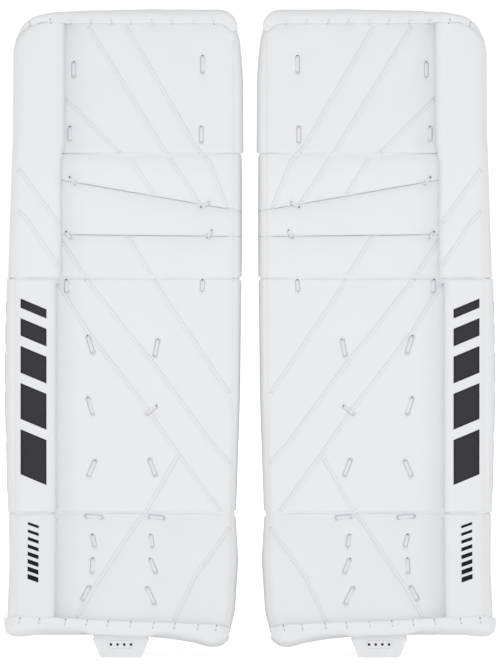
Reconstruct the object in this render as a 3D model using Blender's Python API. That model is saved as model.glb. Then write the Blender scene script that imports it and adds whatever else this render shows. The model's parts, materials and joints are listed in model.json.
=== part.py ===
"""Ice hockey goalie leg pads: a mirrored pair, each a foam face in four sections that flex at three breaks.

Each pad is modelled in pad space. d runs outwards from the plane between the two pads, y runs from the face
back towards the leg, and z runs up the section. A section's origin is the break it hinges on, with y = 0 on
the face.
The wearer's left pad stands at +X, so there d is X. The right pad is the same work under a mirrored empty.
"""

import math

import bmesh
import bpy
from mathutils import Vector

# Room between pieces, and for the motion
CLEARANCE = 0.0004
CREASE = 0.0016
BACK_SLOPE = math.tan(math.radians(8.0))
FRONT_SLOPE = math.tan(math.radians(4.5))
BOOT_FRONT_SLOPE = math.tan(math.radians(13.0))

# Sections, from the ice up: length along the face, and lean. The shin and the knee stand plumb.
BOOT_LENGTH = 0.1270
BOOT_BOTTOM_DROP = 0.0108
SHIN_LENGTH = 0.2820
KNEE_LENGTH = 0.1508
THIGH_LENGTH = 0.1590
BOOT_LEAN = math.radians(11.0)
THIGH_LEAN = math.radians(5.5)

# Edges of the face and of the outer roll: (share of the section's height, distance from the mid plane)
THIGH_INNER, THIGH_OUTER, THIGH_VALLEY = 0.0080, 0.2855, 0.2230
THIGH_INNER_RADIUS, THIGH_OUTER_RADIUS = 0.0260, 0.0370
KNEE_INNER, KNEE_VALLEY = 0.0100, 0.2270
KNEE_OUTER = [(0.0, 0.2915), (1.0, 0.2865)]
SHIN_INNER = [(0.0, 0.0165), (0.5, 0.0122), (1.0, 0.0105)]
SHIN_VALLEY = 0.2330
SHIN_OUTER = [(0.0, 0.2915), (0.55, 0.2950), (1.0, 0.2930)]
BOOT_INNER = [(0.0, 0.0245), (0.2, 0.0180), (0.65, 0.0142), (1.0, 0.0170)]
BOOT_VALLEY = 0.2330
BOOT_OUTER = [(0.0, 0.2915), (0.5, 0.2893), (1.0, 0.2905)]

# The face: a leather cover, open at the back, over a foam core and a stiffening sheet
FACE_DEPTH = 0.0480
COVER_WALL = 0.0025
STIFFENER = 0.0015
EDGE_ROUND = 0.0100
EDGE_ROUND_DEPTH = 0.0130

# The outer roll stands proud of the face
ROLL_PROUD = 0.0150
ROLL_ROUND = 0.0080
ROLL_BEHIND_FACE = 0.0020
ROLL_BACK = FACE_DEPTH + ROLL_BEHIND_FACE

# Knee rolls, over a foam base: the seams' heights at the valley and at the inner edge
ROLL_BASE_FRONT = 0.0220
ROLL_CROWN = 0.0035
ROLL_SHOULDER = 0.0060
UPPER_SEAM = (0.1185, 0.0808)
LOWER_SEAM = (0.0528, 0.0505)

# Bindings
TOP_BINDING = 0.0155
TOP_BINDING_FRONT, TOP_BINDING_BACK = -0.0120, 0.0500
BOTTOM_BINDING = 0.0175
BOTTOM_BINDING_FRONT, BOTTOM_BINDING_BACK = -0.0160, 0.0520
BINDING_ROUND = 0.0080
BINDING_GAP = 0.0010
BINDING_OVERHANG = 0.0035

# The toe tab, with its lace holes
TAB_CENTRE = 0.1550
TAB_SHARE = 0.60
TAB_Y = 0.0160
TAB_TOP_WIDTH, TAB_BOTTOM_WIDTH = 0.0690, 0.0480
TAB_HEIGHT, TAB_THICKNESS = 0.0230, 0.0040
TAB_HINGE_GAP = 0.0022
LACE_HOLES, LACE_HOLE_PITCH, LACE_HOLE_RADIUS = 4, 0.0080, 0.0017
LACE_HOLE_HEIGHT = 0.0160
LACE_HOLE_SIDES = 10

# What holds the leg, behind the face
LINER = 0.0130
LINER_OUTER = 0.2220
WALL_INNER, WALL_THICKNESS = 0.0250, 0.0310
CALF_WALL_BACK = 0.1500
CHANNEL_MARGIN = 0.0110
KNEE_BLOCK_INNER, KNEE_BLOCK_WIDTH, KNEE_BLOCK_BACK = 0.0150, 0.0480, 0.1660
LANDING = 0.0100
BOOT_WALL, BOOT_WALL_BACK = 0.0220, 0.1200
BOOT_CHANNEL_INNER, BOOT_CHANNEL_OUTER = 0.0260, 0.2580
BOOT_CHANNEL_MARGIN, BOOT_CHANNEL_LENGTH = 0.0120, 0.1020
THIGH_LINER = 0.0080
THIGH_LINER_BORDER = 0.0160

# Wings hinge behind the outer roll, and bend round the leg
WING = 0.0090
WING_HINGE_BEHIND_ROLL = 0.0070
WING_HINGE = (0.2610, ROLL_BACK + WING_HINGE_BEHIND_ROLL)
CALF_WING_PATH = [(0.2690, 0.0850), (0.2660, 0.1180), (0.2520, 0.1450), (0.2290, 0.1610), (0.2000, 0.1680),
                  (0.1560, 0.1680)]
KNEE_WING_PATH = [(0.2690, 0.0850), (0.2660, 0.1160), (0.2530, 0.1440), (0.2290, 0.1610), (0.2020, 0.1680),
                  (0.1780, 0.1680)]

# Straps: webbing that runs from its anchor across the back to the inner side
STRAP = 0.0030
CALF_STRAP_WIDTH, UPPER_CALF_STRAP_Z, LOWER_CALF_STRAP_Z = 0.0380, 0.1900, 0.0900
KNEE_STRAP_WIDTH, KNEE_STRAP_Z = 0.0500, 0.0740
BOOT_STRAP_WIDTH, BOOT_STRAP_Z = 0.0320, -0.0600
STRAP_ANCHOR = 2
STRAP_END_INSET = 0.0060
BOOT_STRAP_BOW = 0.0120

# Colours, linear
WHITE_LEATHER = (0.80, 0.80, 0.82, 1.0)
SMOOTH_WHITE = (0.76, 0.76, 0.79, 1.0)
DARK_LINING = (0.035, 0.036, 0.040, 1.0)
BLACK_WEBBING = (0.020, 0.020, 0.022, 1.0)
FOAM = (0.45, 0.47, 0.50, 1.0)
SHEET = (0.60, 0.62, 0.62, 1.0)


def clear_scene():
    for old in list(bpy.data.objects):
        bpy.data.objects.remove(old)


def material(name, colour, roughness):
    made = bpy.data.materials.get(name)
    if made is None:
        made = bpy.data.materials.new(name)
        made.use_nodes = True
        shader = made.node_tree.nodes["Principled BSDF"]
        shader.inputs["Base Color"].default_value = colour
        shader.inputs["Roughness"].default_value = roughness
        shader.inputs["Metallic"].default_value = 0.0
    return made


MATERIALS = {
    "leather": (WHITE_LEATHER, 0.45),
    "edge_leather": (SMOOTH_WHITE, 0.40),
    "lining": (DARK_LINING, 0.80),
    "webbing": (BLACK_WEBBING, 0.70),
    "foam": (FOAM, 0.90),
    "sheet": (SHEET, 0.35),
}


def frame(name, parent, location=(0.0, 0.0, 0.0), lean=0.0):
    """An empty that carries a section; a positive lean tips the top of the section back."""
    empty = bpy.data.objects.new(name, None)
    bpy.context.scene.collection.objects.link(empty)
    empty.parent = parent
    empty.location = location
    empty.rotation_euler = (-lean, 0.0, 0.0)
    return empty


def solid(name, parent, rings, finish):
    """A closed solid lofted through rings of (d, y, z) points, capped at its first and last ring."""
    size = len(rings[0])
    points = [Vector(point) for ring in rings for point in ring]
    faces = [tuple(range(size))[::-1], tuple(range(len(points) - size, len(points)))]
    for start in range(0, len(points) - size, size):
        for i in range(size):
            j = (i + 1) % size
            faces.append((start + i, start + j, start + size + j, start + size + i))
    mesh = bpy.data.meshes.new(name)
    mesh.from_pydata(points, [], faces)
    work = bmesh.new()
    work.from_mesh(mesh)
    bmesh.ops.recalc_face_normals(work, faces=work.faces)
    work.to_mesh(mesh)
    work.free()
    mesh.materials.append(material(finish, *MATERIALS[finish]))
    made = bpy.data.objects.new(name, mesh)
    bpy.context.scene.collection.objects.link(made)
    made.parent = parent
    return made


def mix(a, b, share):
    return a + (b - a) * share


def along(table, share):
    """The value at that share of the height, from (share, value) pairs or one constant."""
    if not isinstance(table, list):
        return table
    for (s0, v0), (s1, v1) in zip(table, table[1:]):
        if share <= s1:
            return mix(v0, v1, (share - s0) / (s1 - s0))
    return table[-1][1]


def end_room(y, margin=0.0, front_slope=FRONT_SLOPE):
    """How far a piece stays from a break, so that the section can flex: the gap widens away from the face."""
    return CREASE / 2 + margin + max(y, 0.0) * BACK_SLOPE + max(-y, 0.0) * front_slope


def boot_bottom(d):
    """The boot's lower edge runs down towards the inner side."""
    share = (BOOT_OUTER[0][1] - d) / (BOOT_OUTER[0][1] - BOOT_INNER[0][1])
    return -BOOT_LENGTH - BOOT_BOTTOM_DROP * share


def arc(centre, radius, start, stop, steps):
    """Points round a centre in the (d, z) plane, from one angle to another."""
    angles = [mix(start, stop, i / steps) for i in range(steps + 1)]
    return [(centre[0] + radius * math.cos(a), centre[1] + radius * math.sin(a)) for a in angles]


# ---------------------------------------------------------------- face sections

def section_ends(section):
    """The two functions of (d, y) that give a section's lower and upper end."""
    return {
        "boot": (lambda d, y: boot_bottom(d), lambda d, y: -end_room(y)),
        "shin": (lambda d, y: end_room(y), lambda d, y: SHIN_LENGTH - end_room(y)),
        "knee": (lambda d, y: end_room(y), lambda d, y: KNEE_LENGTH - end_room(y)),
    }[section]


def panel_ring(section, inner, valley, y, ends_y, inset=0.0, inner_inset=0.0):
    """One ring round a face panel at depth y. Its ends are those of depth ends_y."""
    low, high = section_ends(section)
    shares = [share for share, _ in inner] if isinstance(inner, list) else [0.0, 1.0]
    up, down = [], []
    for share in shares:
        near = along(inner, share) + inset + inner_inset
        z = mix(low(near, ends_y) + inset, high(near, ends_y) - inset, share)
        up.append((near, y, z))
    far = valley - inset
    for share in (1.0, 0.0):
        down.append((far, y, mix(low(far, ends_y) + inset, high(far, ends_y) - inset, share)))
    return up + down


def thigh_ring(y, ends_y, inset=0.0, inner_inset=0.0):
    """One ring round the thigh panel, whose upper inner corner is an arc."""
    near = THIGH_INNER + inset + inner_inset
    radius = THIGH_INNER_RADIUS - inset - inner_inset / 2
    top = THIGH_LENGTH - inset - inner_inset / 2
    corner = arc((near + radius, top - radius), radius, math.pi, math.pi / 2, 4)
    far = THIGH_VALLEY - CLEARANCE - inset
    low = end_room(ends_y) + inset
    outline = [(near, low)] + corner + [(far, top), (far, low)]
    return [(d, y, z) for d, z in outline]


def face(side, section, parent, ring_at):
    """A leather cover, its foam core and its stiffening sheet. ring_at gives a ring at any depth."""
    deep = FACE_DEPTH
    solid(f"{side}_{section}_cover", parent, [
        ring_at(0.0, 0.0, 0.0, EDGE_ROUND),
        ring_at(EDGE_ROUND_DEPTH, EDGE_ROUND_DEPTH),
        ring_at(deep, deep),
        ring_at(deep, deep, COVER_WALL),
        ring_at(COVER_WALL, deep, COVER_WALL, EDGE_ROUND),
    ], "leather")
    fit = COVER_WALL + CLEARANCE
    core_back = deep - STIFFENER - 2 * CLEARANCE
    core_front = COVER_WALL + CLEARANCE
    solid(f"{side}_{section}_core", parent, [
        ring_at(core_front, deep, fit, EDGE_ROUND),
        ring_at(core_back, deep, fit, 0.001),
    ], "foam")
    if section == "shin":
        solid(f"{side}_{section}_stiffener", parent, [
            ring_at(core_back + CLEARANCE, deep, fit, 0.001),
            ring_at(core_back + CLEARANCE + STIFFENER, deep, fit, 0.001),
        ], "sheet")


def roll_ring(inner, outer, height_at):
    """One ring round the outer roll at a level; height_at gives each point's z from its depth."""
    front = -ROLL_PROUD
    outline = [
        (inner, ROLL_BACK), (inner, 0.0), (inner, front + ROLL_ROUND / 2), (inner + ROLL_ROUND / 2, front),
        (outer - ROLL_ROUND, front), (outer - ROLL_ROUND / 4, front + ROLL_ROUND), (outer, 0.0),
        (outer, ROLL_BACK - 2 * ROLL_ROUND), (outer - ROLL_ROUND, ROLL_BACK),
    ]
    return [(d, y, height_at(y)) for d, y in outline]


def outer_roll(side, section, parent, valley, outer, low, high):
    """The raised roll along the outside of a section."""
    levels = [share for share, _ in outer]
    rings = []
    for share in levels:
        rings.append(roll_ring(valley + CLEARANCE, along(outer, share),
                               lambda y, s=share: mix(low(y), high(y), s)))
    solid(f"{side}_{section}_outer_roll", parent, rings, "leather")


# ---------------------------------------------------------------- pieces of each section

def bar_ring(front, back, rounding, inner, outer):
    """The (y, reach) outline of a binding: inner and outer are how far it reaches from its path."""
    return [
        (front + rounding / 2, inner), (front, mix(inner, outer, 0.45)),
        (front + rounding / 2, mix(inner, outer, 0.85)), (front + 1.6 * rounding, outer),
        (back - 1.6 * rounding, outer), (back - rounding / 2, mix(inner, outer, 0.85)),
        (back, mix(inner, outer, 0.45)), (back - rounding / 2, inner),
    ]


def top_binding(side, parent):
    """The binding that caps the thigh section, round both of its upper corners."""
    def path(reach):
        inner_centre = (THIGH_INNER + THIGH_INNER_RADIUS, THIGH_LENGTH - THIGH_INNER_RADIUS)
        outer_centre = (THIGH_OUTER - THIGH_OUTER_RADIUS, THIGH_LENGTH - THIGH_OUTER_RADIUS)
        ends = (math.radians(172.0), math.radians(8.0))
        return (arc(inner_centre, THIGH_INNER_RADIUS + reach, ends[0], math.pi / 2, 4)
                + arc(outer_centre, THIGH_OUTER_RADIUS + reach, math.pi / 2, ends[1], 5))

    section = bar_ring(TOP_BINDING_FRONT, TOP_BINDING_BACK, BINDING_ROUND, BINDING_GAP, TOP_BINDING)
    lines = [(y, path(reach)) for y, reach in section]
    stations = len(lines[0][1])
    taper = [0.45, 0.8] + [1.0] * (stations - 4) + [0.8, 0.45]
    root = path(BINDING_GAP)
    rings = []
    for i in range(stations):
        ring = []
        for y, line in lines:
            ring.append((mix(root[i][0], line[i][0], taper[i]), y, mix(root[i][1], line[i][1], taper[i])))
        rings.append(ring)
    solid(f"{side}_top_binding", parent, rings, "edge_leather")


def bottom_binding(side, parent):
    """The roll under the boot, which runs past the boot on both sides."""
    inner_end = BOOT_INNER[0][1]
    outer_end = BOOT_OUTER[0][1] + BINDING_OVERHANG
    tab = TAB_TOP_WIDTH / 2 + 0.004
    stations = [(inner_end, 0.55), (inner_end + 0.006, 0.85), (inner_end + 0.018, 1.0),
                (TAB_CENTRE - tab, TAB_SHARE), (TAB_CENTRE + tab, TAB_SHARE),
                (outer_end - 0.014, 0.9), (outer_end - 0.005, 0.8), (outer_end, 0.5)]
    rings = []
    for d, share in stations:
        top = boot_bottom(min(d, BOOT_OUTER[0][1])) - CLEARANCE
        low = top - BOTTOM_BINDING
        middle = (top + low) / 2
        outline = bar_ring(BOTTOM_BINDING_FRONT, BOTTOM_BINDING_BACK, BINDING_ROUND, top, low)
        centre = (BOTTOM_BINDING_FRONT + BOTTOM_BINDING_BACK) / 2
        ring = []
        for y, z in outline:
            ring.append((d, mix(centre, y, min(1.0, 0.4 + share * 0.6)), min(top, mix(middle, z, share))))
        rings.append(ring)
    solid(f"{side}_bottom_binding", parent, rings, "edge_leather")


def toe_tab(side, boot):
    """The tab under the boot that ties to the skate. It hangs plumb from its hinge line."""
    binding_half = BOTTOM_BINDING * (1 + TAB_SHARE) / 2
    top = boot_bottom(TAB_CENTRE - TAB_TOP_WIDTH / 2) - CLEARANCE - binding_half - TAB_HINGE_GAP
    hinge = frame(f"{side}_toe_tab_hinge", boot, (TAB_CENTRE, TAB_Y, top), -BOOT_LEAN)
    half = TAB_THICKNESS / 2
    outline = [(-TAB_TOP_WIDTH / 2, 0.0), (-TAB_BOTTOM_WIDTH / 2, -TAB_HEIGHT),
               (TAB_BOTTOM_WIDTH / 2, -TAB_HEIGHT), (TAB_TOP_WIDTH / 2, 0.0)]
    rings = [[(d, y, z) for d, z in outline] for y in (-half, half)]
    tab = solid(f"{side}_toe_tab", hinge, rings, "edge_leather")
    for i in range(LACE_HOLES):
        offset = (i - (LACE_HOLES - 1) / 2) * LACE_HOLE_PITCH
        centre = (offset, LACE_HOLE_HEIGHT - TAB_HEIGHT)
        around = arc(centre, LACE_HOLE_RADIUS, 0.0, 2 * math.pi, LACE_HOLE_SIDES)[:-1]
        cutter = solid(f"{side}_lace_hole_{i + 1}", hinge,
                       [[(d, y, z) for d, z in around] for y in (-2 * half, 2 * half)], "edge_leather")
        cutter.hide_render = True
        cutter.display_type = "WIRE"
        cut = tab.modifiers.new(f"lace_hole_{i + 1}", "BOOLEAN")
        cut.operation = "DIFFERENCE"
        cut.object = cutter
    return hinge


def knee_roll(side, name, parent, low, high):
    """One roll across the knee. low and high give its edges' heights from (d, y)."""
    stations = [(KNEE_INNER, 0.0), (KNEE_INNER + EDGE_ROUND, 1.0), (mix(KNEE_INNER, KNEE_VALLEY, 0.5), 1.15),
                (KNEE_VALLEY, 1.0)]
    rings = []
    for d, crown in stations:
        back = ROLL_BASE_FRONT - CLEARANCE
        shoulder = mix(EDGE_ROUND_DEPTH, ROLL_SHOULDER, min(crown, 1.0))
        front = mix(EDGE_ROUND_DEPTH, -ROLL_CROWN, crown)
        outline = [(back, 0.0), (back, 1.0), (shoulder, 1.0), (front, 0.76), (front, 0.24), (shoulder, 0.0)]
        rings.append([(d, y, mix(low(d, y), high(d, y), share)) for y, share in outline])
    solid(f"{side}_{name}", parent, rings, "leather")


def seam(line):
    """A knee seam's height at d, from its heights at the valley and at the inner edge."""
    return lambda d: mix(line[0], line[1], (KNEE_VALLEY - d) / (KNEE_VALLEY - KNEE_INNER))


def offset_path(path, distance):
    """The (d, y) path moved sideways, to the left of its own direction, with mitred corners."""
    line = [Vector(point) for point in path]
    moved = []
    for i, here in enumerate(line):
        before = here - line[i - 1] if i else line[1] - here
        after = line[i + 1] - here if i + 1 < len(line) else before
        direction = (before.normalized() + after.normalized()).normalized()
        normal = Vector((-direction.y, direction.x))
        lengthen = max(0.5, normal.dot(Vector((-after.y, after.x)).normalized()))
        moved.append(tuple(here + normal * distance / lengthen))
    return moved


def ribbon(side, name, parent, path, thickness, low, high, finish):
    """A plate of even thickness that stands on a path in the (d, y) plane."""
    outline = offset_path(path, thickness / 2) + offset_path(path, -thickness / 2)[::-1]
    rings = [[(d, y, end(y)) for d, y in outline] for end in (low, high)]
    return solid(f"{side}_{name}", parent, rings, finish)


def prism(side, name, parent, outline, low, high, finish):
    """A solid with that outline in the (d, y) plane, between two ends given by depth."""
    rings = [[(d, y, end(y)) for d, y in outline] for end in (low, high)]
    return solid(f"{side}_{name}", parent, rings, finish)


def strap_on_wing(side, name, wing_path, wing, seat_back, seat_span, height, width):
    """A strap anchored on a wing, along its outside and across the gap to the seat on the inner side."""
    reach = (WING + STRAP) / 2 + 2 * CLEARANCE
    on_wing = offset_path(wing_path, -reach)[STRAP_ANCHOR:]
    seat_y = seat_back + STRAP / 2 + 2 * CLEARANCE
    anchor = on_wing[0]
    gap_start, gap_end = Vector(on_wing[-1]), Vector((seat_span[1], seat_y))
    bridge = tuple(gap_start.lerp(gap_end, 0.5) + Vector((0.0, 0.2 * (gap_start.y - gap_end.y))))
    path = on_wing + [bridge, (seat_span[1], seat_y), (seat_span[0], seat_y)]
    hinge = frame(f"{side}_{name}_hinge", wing, (anchor[0], anchor[1], height))
    local = [(d - anchor[0], y - anchor[1]) for d, y in path]
    ribbon(side, name, hinge, local, STRAP, lambda y: -width / 2, lambda y: width / 2, "webbing")


def wing(side, name, parent, path, length):
    """A padded wing on its hinge behind the outer roll. Returns the hinge's empty."""
    hinge = frame(f"{side}_{name}_hinge", parent, (WING_HINGE[0], WING_HINGE[1], 0.0))
    local = [(0.0, 0.0)] + [(d - WING_HINGE[0], y - WING_HINGE[1]) for d, y in path]
    ribbon(side, name, hinge, local, WING,
           lambda y: end_room(y + WING_HINGE[1], CHANNEL_MARGIN),
           lambda y: length - end_room(y + WING_HINGE[1], CHANNEL_MARGIN), "leather")
    return hinge


# ---------------------------------------------------------------- the four sections

def build_boot(side, boot):
    face(side, "boot", boot,
         lambda y, ends_y, inset=0.0, inner_inset=0.0: panel_ring(
             "boot", BOOT_INNER, BOOT_VALLEY - CLEARANCE, y, ends_y, inset, inner_inset))
    outer_roll(side, "boot", boot, BOOT_VALLEY, BOOT_OUTER,
               lambda y: boot_bottom(BOOT_OUTER[0][1]), lambda y: -end_room(y, 0.0, BOOT_FRONT_SLOPE))
    bottom_binding(side, boot)
    toe_tab(side, boot)
    near, far = BOOT_CHANNEL_INNER, BOOT_CHANNEL_OUTER
    pad, back = FACE_DEPTH + CLEARANCE, BOOT_WALL_BACK
    floor = pad + LINER
    outline = [(near, pad), (far, ROLL_BACK + CLEARANCE), (far, back), (far - BOOT_WALL, back),
               (far - BOOT_WALL, floor), (near + BOOT_WALL, floor), (near + BOOT_WALL, back), (near, back)]
    outline[1:1] = [(BOOT_VALLEY - CLEARANCE, pad), (BOOT_VALLEY - CLEARANCE, ROLL_BACK + CLEARANCE)]
    prism(side, "boot_channel", boot, outline, lambda y: -BOOT_CHANNEL_MARGIN - BOOT_CHANNEL_LENGTH,
          lambda y: -end_room(y, BOOT_CHANNEL_MARGIN), "lining")
    seat = back + STRAP / 2 + 2 * CLEARANCE
    anchor = Vector((far - STRAP_END_INSET, seat))
    tip = Vector((near + STRAP_END_INSET, seat))
    steps = 6
    path = [anchor.lerp(tip, i / steps) + Vector((0.0, BOOT_STRAP_BOW * math.sin(math.pi * i / steps)))
            for i in range(steps + 1)]
    path.insert(1, Vector((far - BOOT_WALL, seat)))
    path.insert(-1, Vector((near + BOOT_WALL, seat)))
    hinge = frame(f"{side}_boot_strap_hinge", boot, (anchor.x, anchor.y, BOOT_STRAP_Z))
    ribbon(side, "boot_strap", hinge, [tuple(p - anchor) for p in path], STRAP,
           lambda y: -BOOT_STRAP_WIDTH / 2, lambda y: BOOT_STRAP_WIDTH / 2, "webbing")


def build_shin(side, shin):
    face(side, "shin", shin,
         lambda y, ends_y, inset=0.0, inner_inset=0.0: panel_ring(
             "shin", SHIN_INNER, SHIN_VALLEY - CLEARANCE, y, ends_y, inset, inner_inset))
    outer_roll(side, "shin", shin, SHIN_VALLEY, SHIN_OUTER,
               lambda y: end_room(y), lambda y: SHIN_LENGTH - end_room(y))
    pad = FACE_DEPTH + CLEARANCE
    near, thick = WALL_INNER, WALL_THICKNESS
    outline = [(near, pad), (LINER_OUTER, pad), (LINER_OUTER, pad + LINER), (near + thick, pad + LINER),
               (near + thick, CALF_WALL_BACK), (near, CALF_WALL_BACK)]
    prism(side, "calf_channel", shin, outline, lambda y: end_room(y, CHANNEL_MARGIN),
          lambda y: SHIN_LENGTH - end_room(y, CHANNEL_MARGIN), "lining")
    hinge = wing(side, "calf_wing", shin, CALF_WING_PATH, SHIN_LENGTH)
    local = [(d - WING_HINGE[0], y - WING_HINGE[1]) for d, y in CALF_WING_PATH]
    seat = (near + STRAP_END_INSET - WING_HINGE[0], near + thick - WING_HINGE[0])
    seat_back = CALF_WALL_BACK - WING_HINGE[1]
    for name, height in (("upper_calf_strap", UPPER_CALF_STRAP_Z), ("lower_calf_strap", LOWER_CALF_STRAP_Z)):
        strap_on_wing(side, name, local, hinge, seat_back, seat, height, CALF_STRAP_WIDTH)


def build_knee(side, knee):
    valley = KNEE_VALLEY - CLEARANCE
    solid(f"{side}_knee_base", knee, [
        panel_ring("knee", KNEE_INNER, valley, ROLL_BASE_FRONT, ROLL_BASE_FRONT),
        panel_ring("knee", KNEE_INNER, valley, FACE_DEPTH, FACE_DEPTH),
    ], "foam")
    upper, lower = seam(UPPER_SEAM), seam(LOWER_SEAM)
    gap = CREASE / 2
    low_end, high_end = section_ends("knee")
    knee_roll(side, "knee_roll_lower", knee, low_end, lambda d, y: lower(d) - gap)
    knee_roll(side, "knee_roll_middle", knee, lambda d, y: lower(d) + gap, lambda d, y: upper(d) - gap)
    knee_roll(side, "knee_roll_upper", knee, lambda d, y: upper(d) + gap, high_end)
    outer_roll(side, "knee", knee, KNEE_VALLEY, KNEE_OUTER,
               lambda y: end_room(y), lambda y: KNEE_LENGTH - end_room(y))
    pad = FACE_DEPTH + CLEARANCE
    low = lambda y: end_room(y, CHANNEL_MARGIN)
    high = lambda y: KNEE_LENGTH - end_room(y, CHANNEL_MARGIN)
    inner, outer = KNEE_BLOCK_INNER + LANDING, KNEE_BLOCK_INNER + LANDING + KNEE_BLOCK_WIDTH
    cradle = outer + CLEARANCE
    outline = [(cradle, pad), (LINER_OUTER, pad), (LINER_OUTER, pad + LINER), (cradle, pad + LINER)]
    prism(side, "knee_cradle", knee, outline, low, high, "lining")
    block_back = KNEE_BLOCK_BACK
    prism(side, "knee_block", knee, [(inner, pad), (outer, pad), (outer, block_back), (inner, block_back)],
          low, high, "leather")
    land = inner - CLEARANCE
    outline = [(KNEE_BLOCK_INNER, pad), (land, pad), (land, block_back),
               (KNEE_BLOCK_INNER, block_back - LANDING)]
    prism(side, "knee_landing", knee, outline, low, high, "lining")
    hinge = wing(side, "knee_wing", knee, KNEE_WING_PATH, KNEE_LENGTH)
    local = [(d - WING_HINGE[0], y - WING_HINGE[1]) for d, y in KNEE_WING_PATH]
    seat = (inner + STRAP_END_INSET - WING_HINGE[0], outer - WING_HINGE[0])
    seat_back = block_back - WING_HINGE[1]
    strap_on_wing(side, "knee_strap", local, hinge, seat_back, seat, KNEE_STRAP_Z, KNEE_STRAP_WIDTH)


def build_thigh(side, thigh):
    face(side, "thigh", thigh, thigh_ring)
    radius, straight = THIGH_OUTER_RADIUS, THIGH_LENGTH - THIGH_OUTER_RADIUS
    steps = 4
    outer = [(0.0, THIGH_OUTER)]
    for i in range(steps + 1):
        angle = math.pi / 2 * i / steps * 0.94
        outer.append(((straight + radius * math.sin(angle)) / THIGH_LENGTH,
                      THIGH_OUTER - radius * (1 - math.cos(angle))))
    outer.append((1.0, THIGH_OUTER - radius))
    outer_roll(side, "thigh", thigh, THIGH_VALLEY, outer, lambda y: end_room(y), lambda y: THIGH_LENGTH)
    top_binding(side, thigh)
    pad, border = FACE_DEPTH + CLEARANCE, THIGH_LINER_BORDER
    near, far, back = THIGH_INNER + border, THIGH_VALLEY - CLEARANCE, pad + THIGH_LINER
    prism(side, "thigh_liner", thigh, [(near, pad), (far, pad), (far, back), (near, back)],
          lambda y: end_room(y, CHANNEL_MARGIN), lambda y: THIGH_LENGTH - border, "lining")


def build_pad(side, root, mirror):
    shin = frame(f"{side}_shin_frame", root)
    shin.scale = (mirror, 1.0, 1.0)
    boot = frame(f"{side}_boot_break", shin, (0.0, 0.0, 0.0), BOOT_LEAN)
    knee = frame(f"{side}_knee_break", shin, (0.0, 0.0, SHIN_LENGTH))
    thigh = frame(f"{side}_thigh_break", knee, (0.0, 0.0, KNEE_LENGTH), THIGH_LEAN)
    build_boot(side, boot)
    build_shin(side, shin)
    build_knee(side, knee)
    build_thigh(side, thigh)


def stand_on_floor(root):
    """Centres the pair front to back, and sets its lowest point on the floor."""
    bpy.context.view_layer.update()
    graph = bpy.context.evaluated_depsgraph_get()
    corners = []
    for piece in bpy.context.scene.objects:
        if piece.type == "MESH" and not piece.hide_render:
            shown = piece.evaluated_get(graph)
            corners += [shown.matrix_world @ vertex.co for vertex in shown.data.vertices]
    front, back = min(c.y for c in corners), max(c.y for c in corners)
    root.location = (0.0, -(front + back) / 2, -min(c.z for c in corners))
    bpy.context.view_layer.update()


def main():
    clear_scene()
    root = frame("pads", None)
    build_pad("left", root, 1.0)
    build_pad("right", root, -1.0)
    stand_on_floor(root)


main()
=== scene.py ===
# %% [markdown]
# # A pair of ice hockey goalie leg pads
#
# Each pad is a tall face of foam in a white leather skin, with a proud roll down its outside, three soft
# rolls across the knee, and a dark lined channel behind for the leg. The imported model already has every
# piece at its right size. Here each soft piece gets the shape that stuffing and sewing give it, then its
# stitches and finish.

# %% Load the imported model
import json
import math

import bmesh
import bpy
import numpy as np
from mathutils import Matrix, Vector
from mathutils.bvhtree import BVHTree


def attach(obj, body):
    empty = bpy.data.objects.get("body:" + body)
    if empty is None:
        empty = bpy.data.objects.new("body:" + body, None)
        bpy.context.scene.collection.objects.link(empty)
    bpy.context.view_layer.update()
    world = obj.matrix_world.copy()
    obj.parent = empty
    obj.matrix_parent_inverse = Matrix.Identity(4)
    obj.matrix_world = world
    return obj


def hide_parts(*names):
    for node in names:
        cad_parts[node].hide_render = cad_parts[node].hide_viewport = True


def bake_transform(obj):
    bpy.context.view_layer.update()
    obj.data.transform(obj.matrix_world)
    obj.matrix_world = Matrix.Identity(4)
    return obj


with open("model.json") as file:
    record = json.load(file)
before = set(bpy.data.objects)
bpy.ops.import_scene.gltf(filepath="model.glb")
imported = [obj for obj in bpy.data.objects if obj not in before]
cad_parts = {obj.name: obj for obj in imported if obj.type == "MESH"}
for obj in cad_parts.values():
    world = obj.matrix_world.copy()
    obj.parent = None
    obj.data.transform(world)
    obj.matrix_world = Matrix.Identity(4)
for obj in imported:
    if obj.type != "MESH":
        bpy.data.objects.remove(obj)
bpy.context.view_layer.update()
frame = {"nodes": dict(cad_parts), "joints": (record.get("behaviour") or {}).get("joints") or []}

# %% [markdown]
# ## Where a piece goes
#
# The left pad stands at +X and is made first. Each section of it is drawn flat: d runs outwards from
# between the pads, y runs back from the face, and z runs up from the break that the section bends at. The
# boot and the thigh lean, so a small function stands the flat points on their section. It works on whole
# arrays of points at once, which is far quicker in Python than one point at a time.

# %% Sections of the pad
JOINTS = {joint["name"]: joint for joint in frame["joints"]}
BREAKS = {name: Vector(JOINTS[f"left_{name}_flex"]["pos_m"]) for name in ("boot", "knee", "thigh")}
FOOT_OF = {"boot": BREAKS["boot"], "shin": BREAKS["boot"], "knee": BREAKS["knee"], "thigh": BREAKS["thigh"]}
LEAN = {"boot": math.radians(11.0), "shin": 0.0, "knee": 0.0, "thigh": math.radians(5.5)}
LENGTH = {"boot": 0.1270, "shin": 0.2820, "knee": 0.1508, "thigh": 0.1590}
FACE_DEPTH, ROLL_PROUD = 0.048, 0.015
FACE_PLANE = BREAKS["boot"].y


def stand(section, d, y, z):
    """World points for flat (d, y, z) arrays of a section."""
    d, y, z = np.broadcast_arrays(d, y, z)
    foot, c, s = FOOT_OF[section], math.cos(LEAN[section]), math.sin(LEAN[section])
    return np.stack([d, foot.y + y * c + z * s, foot.z - y * s + z * c], axis=-1)


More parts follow.
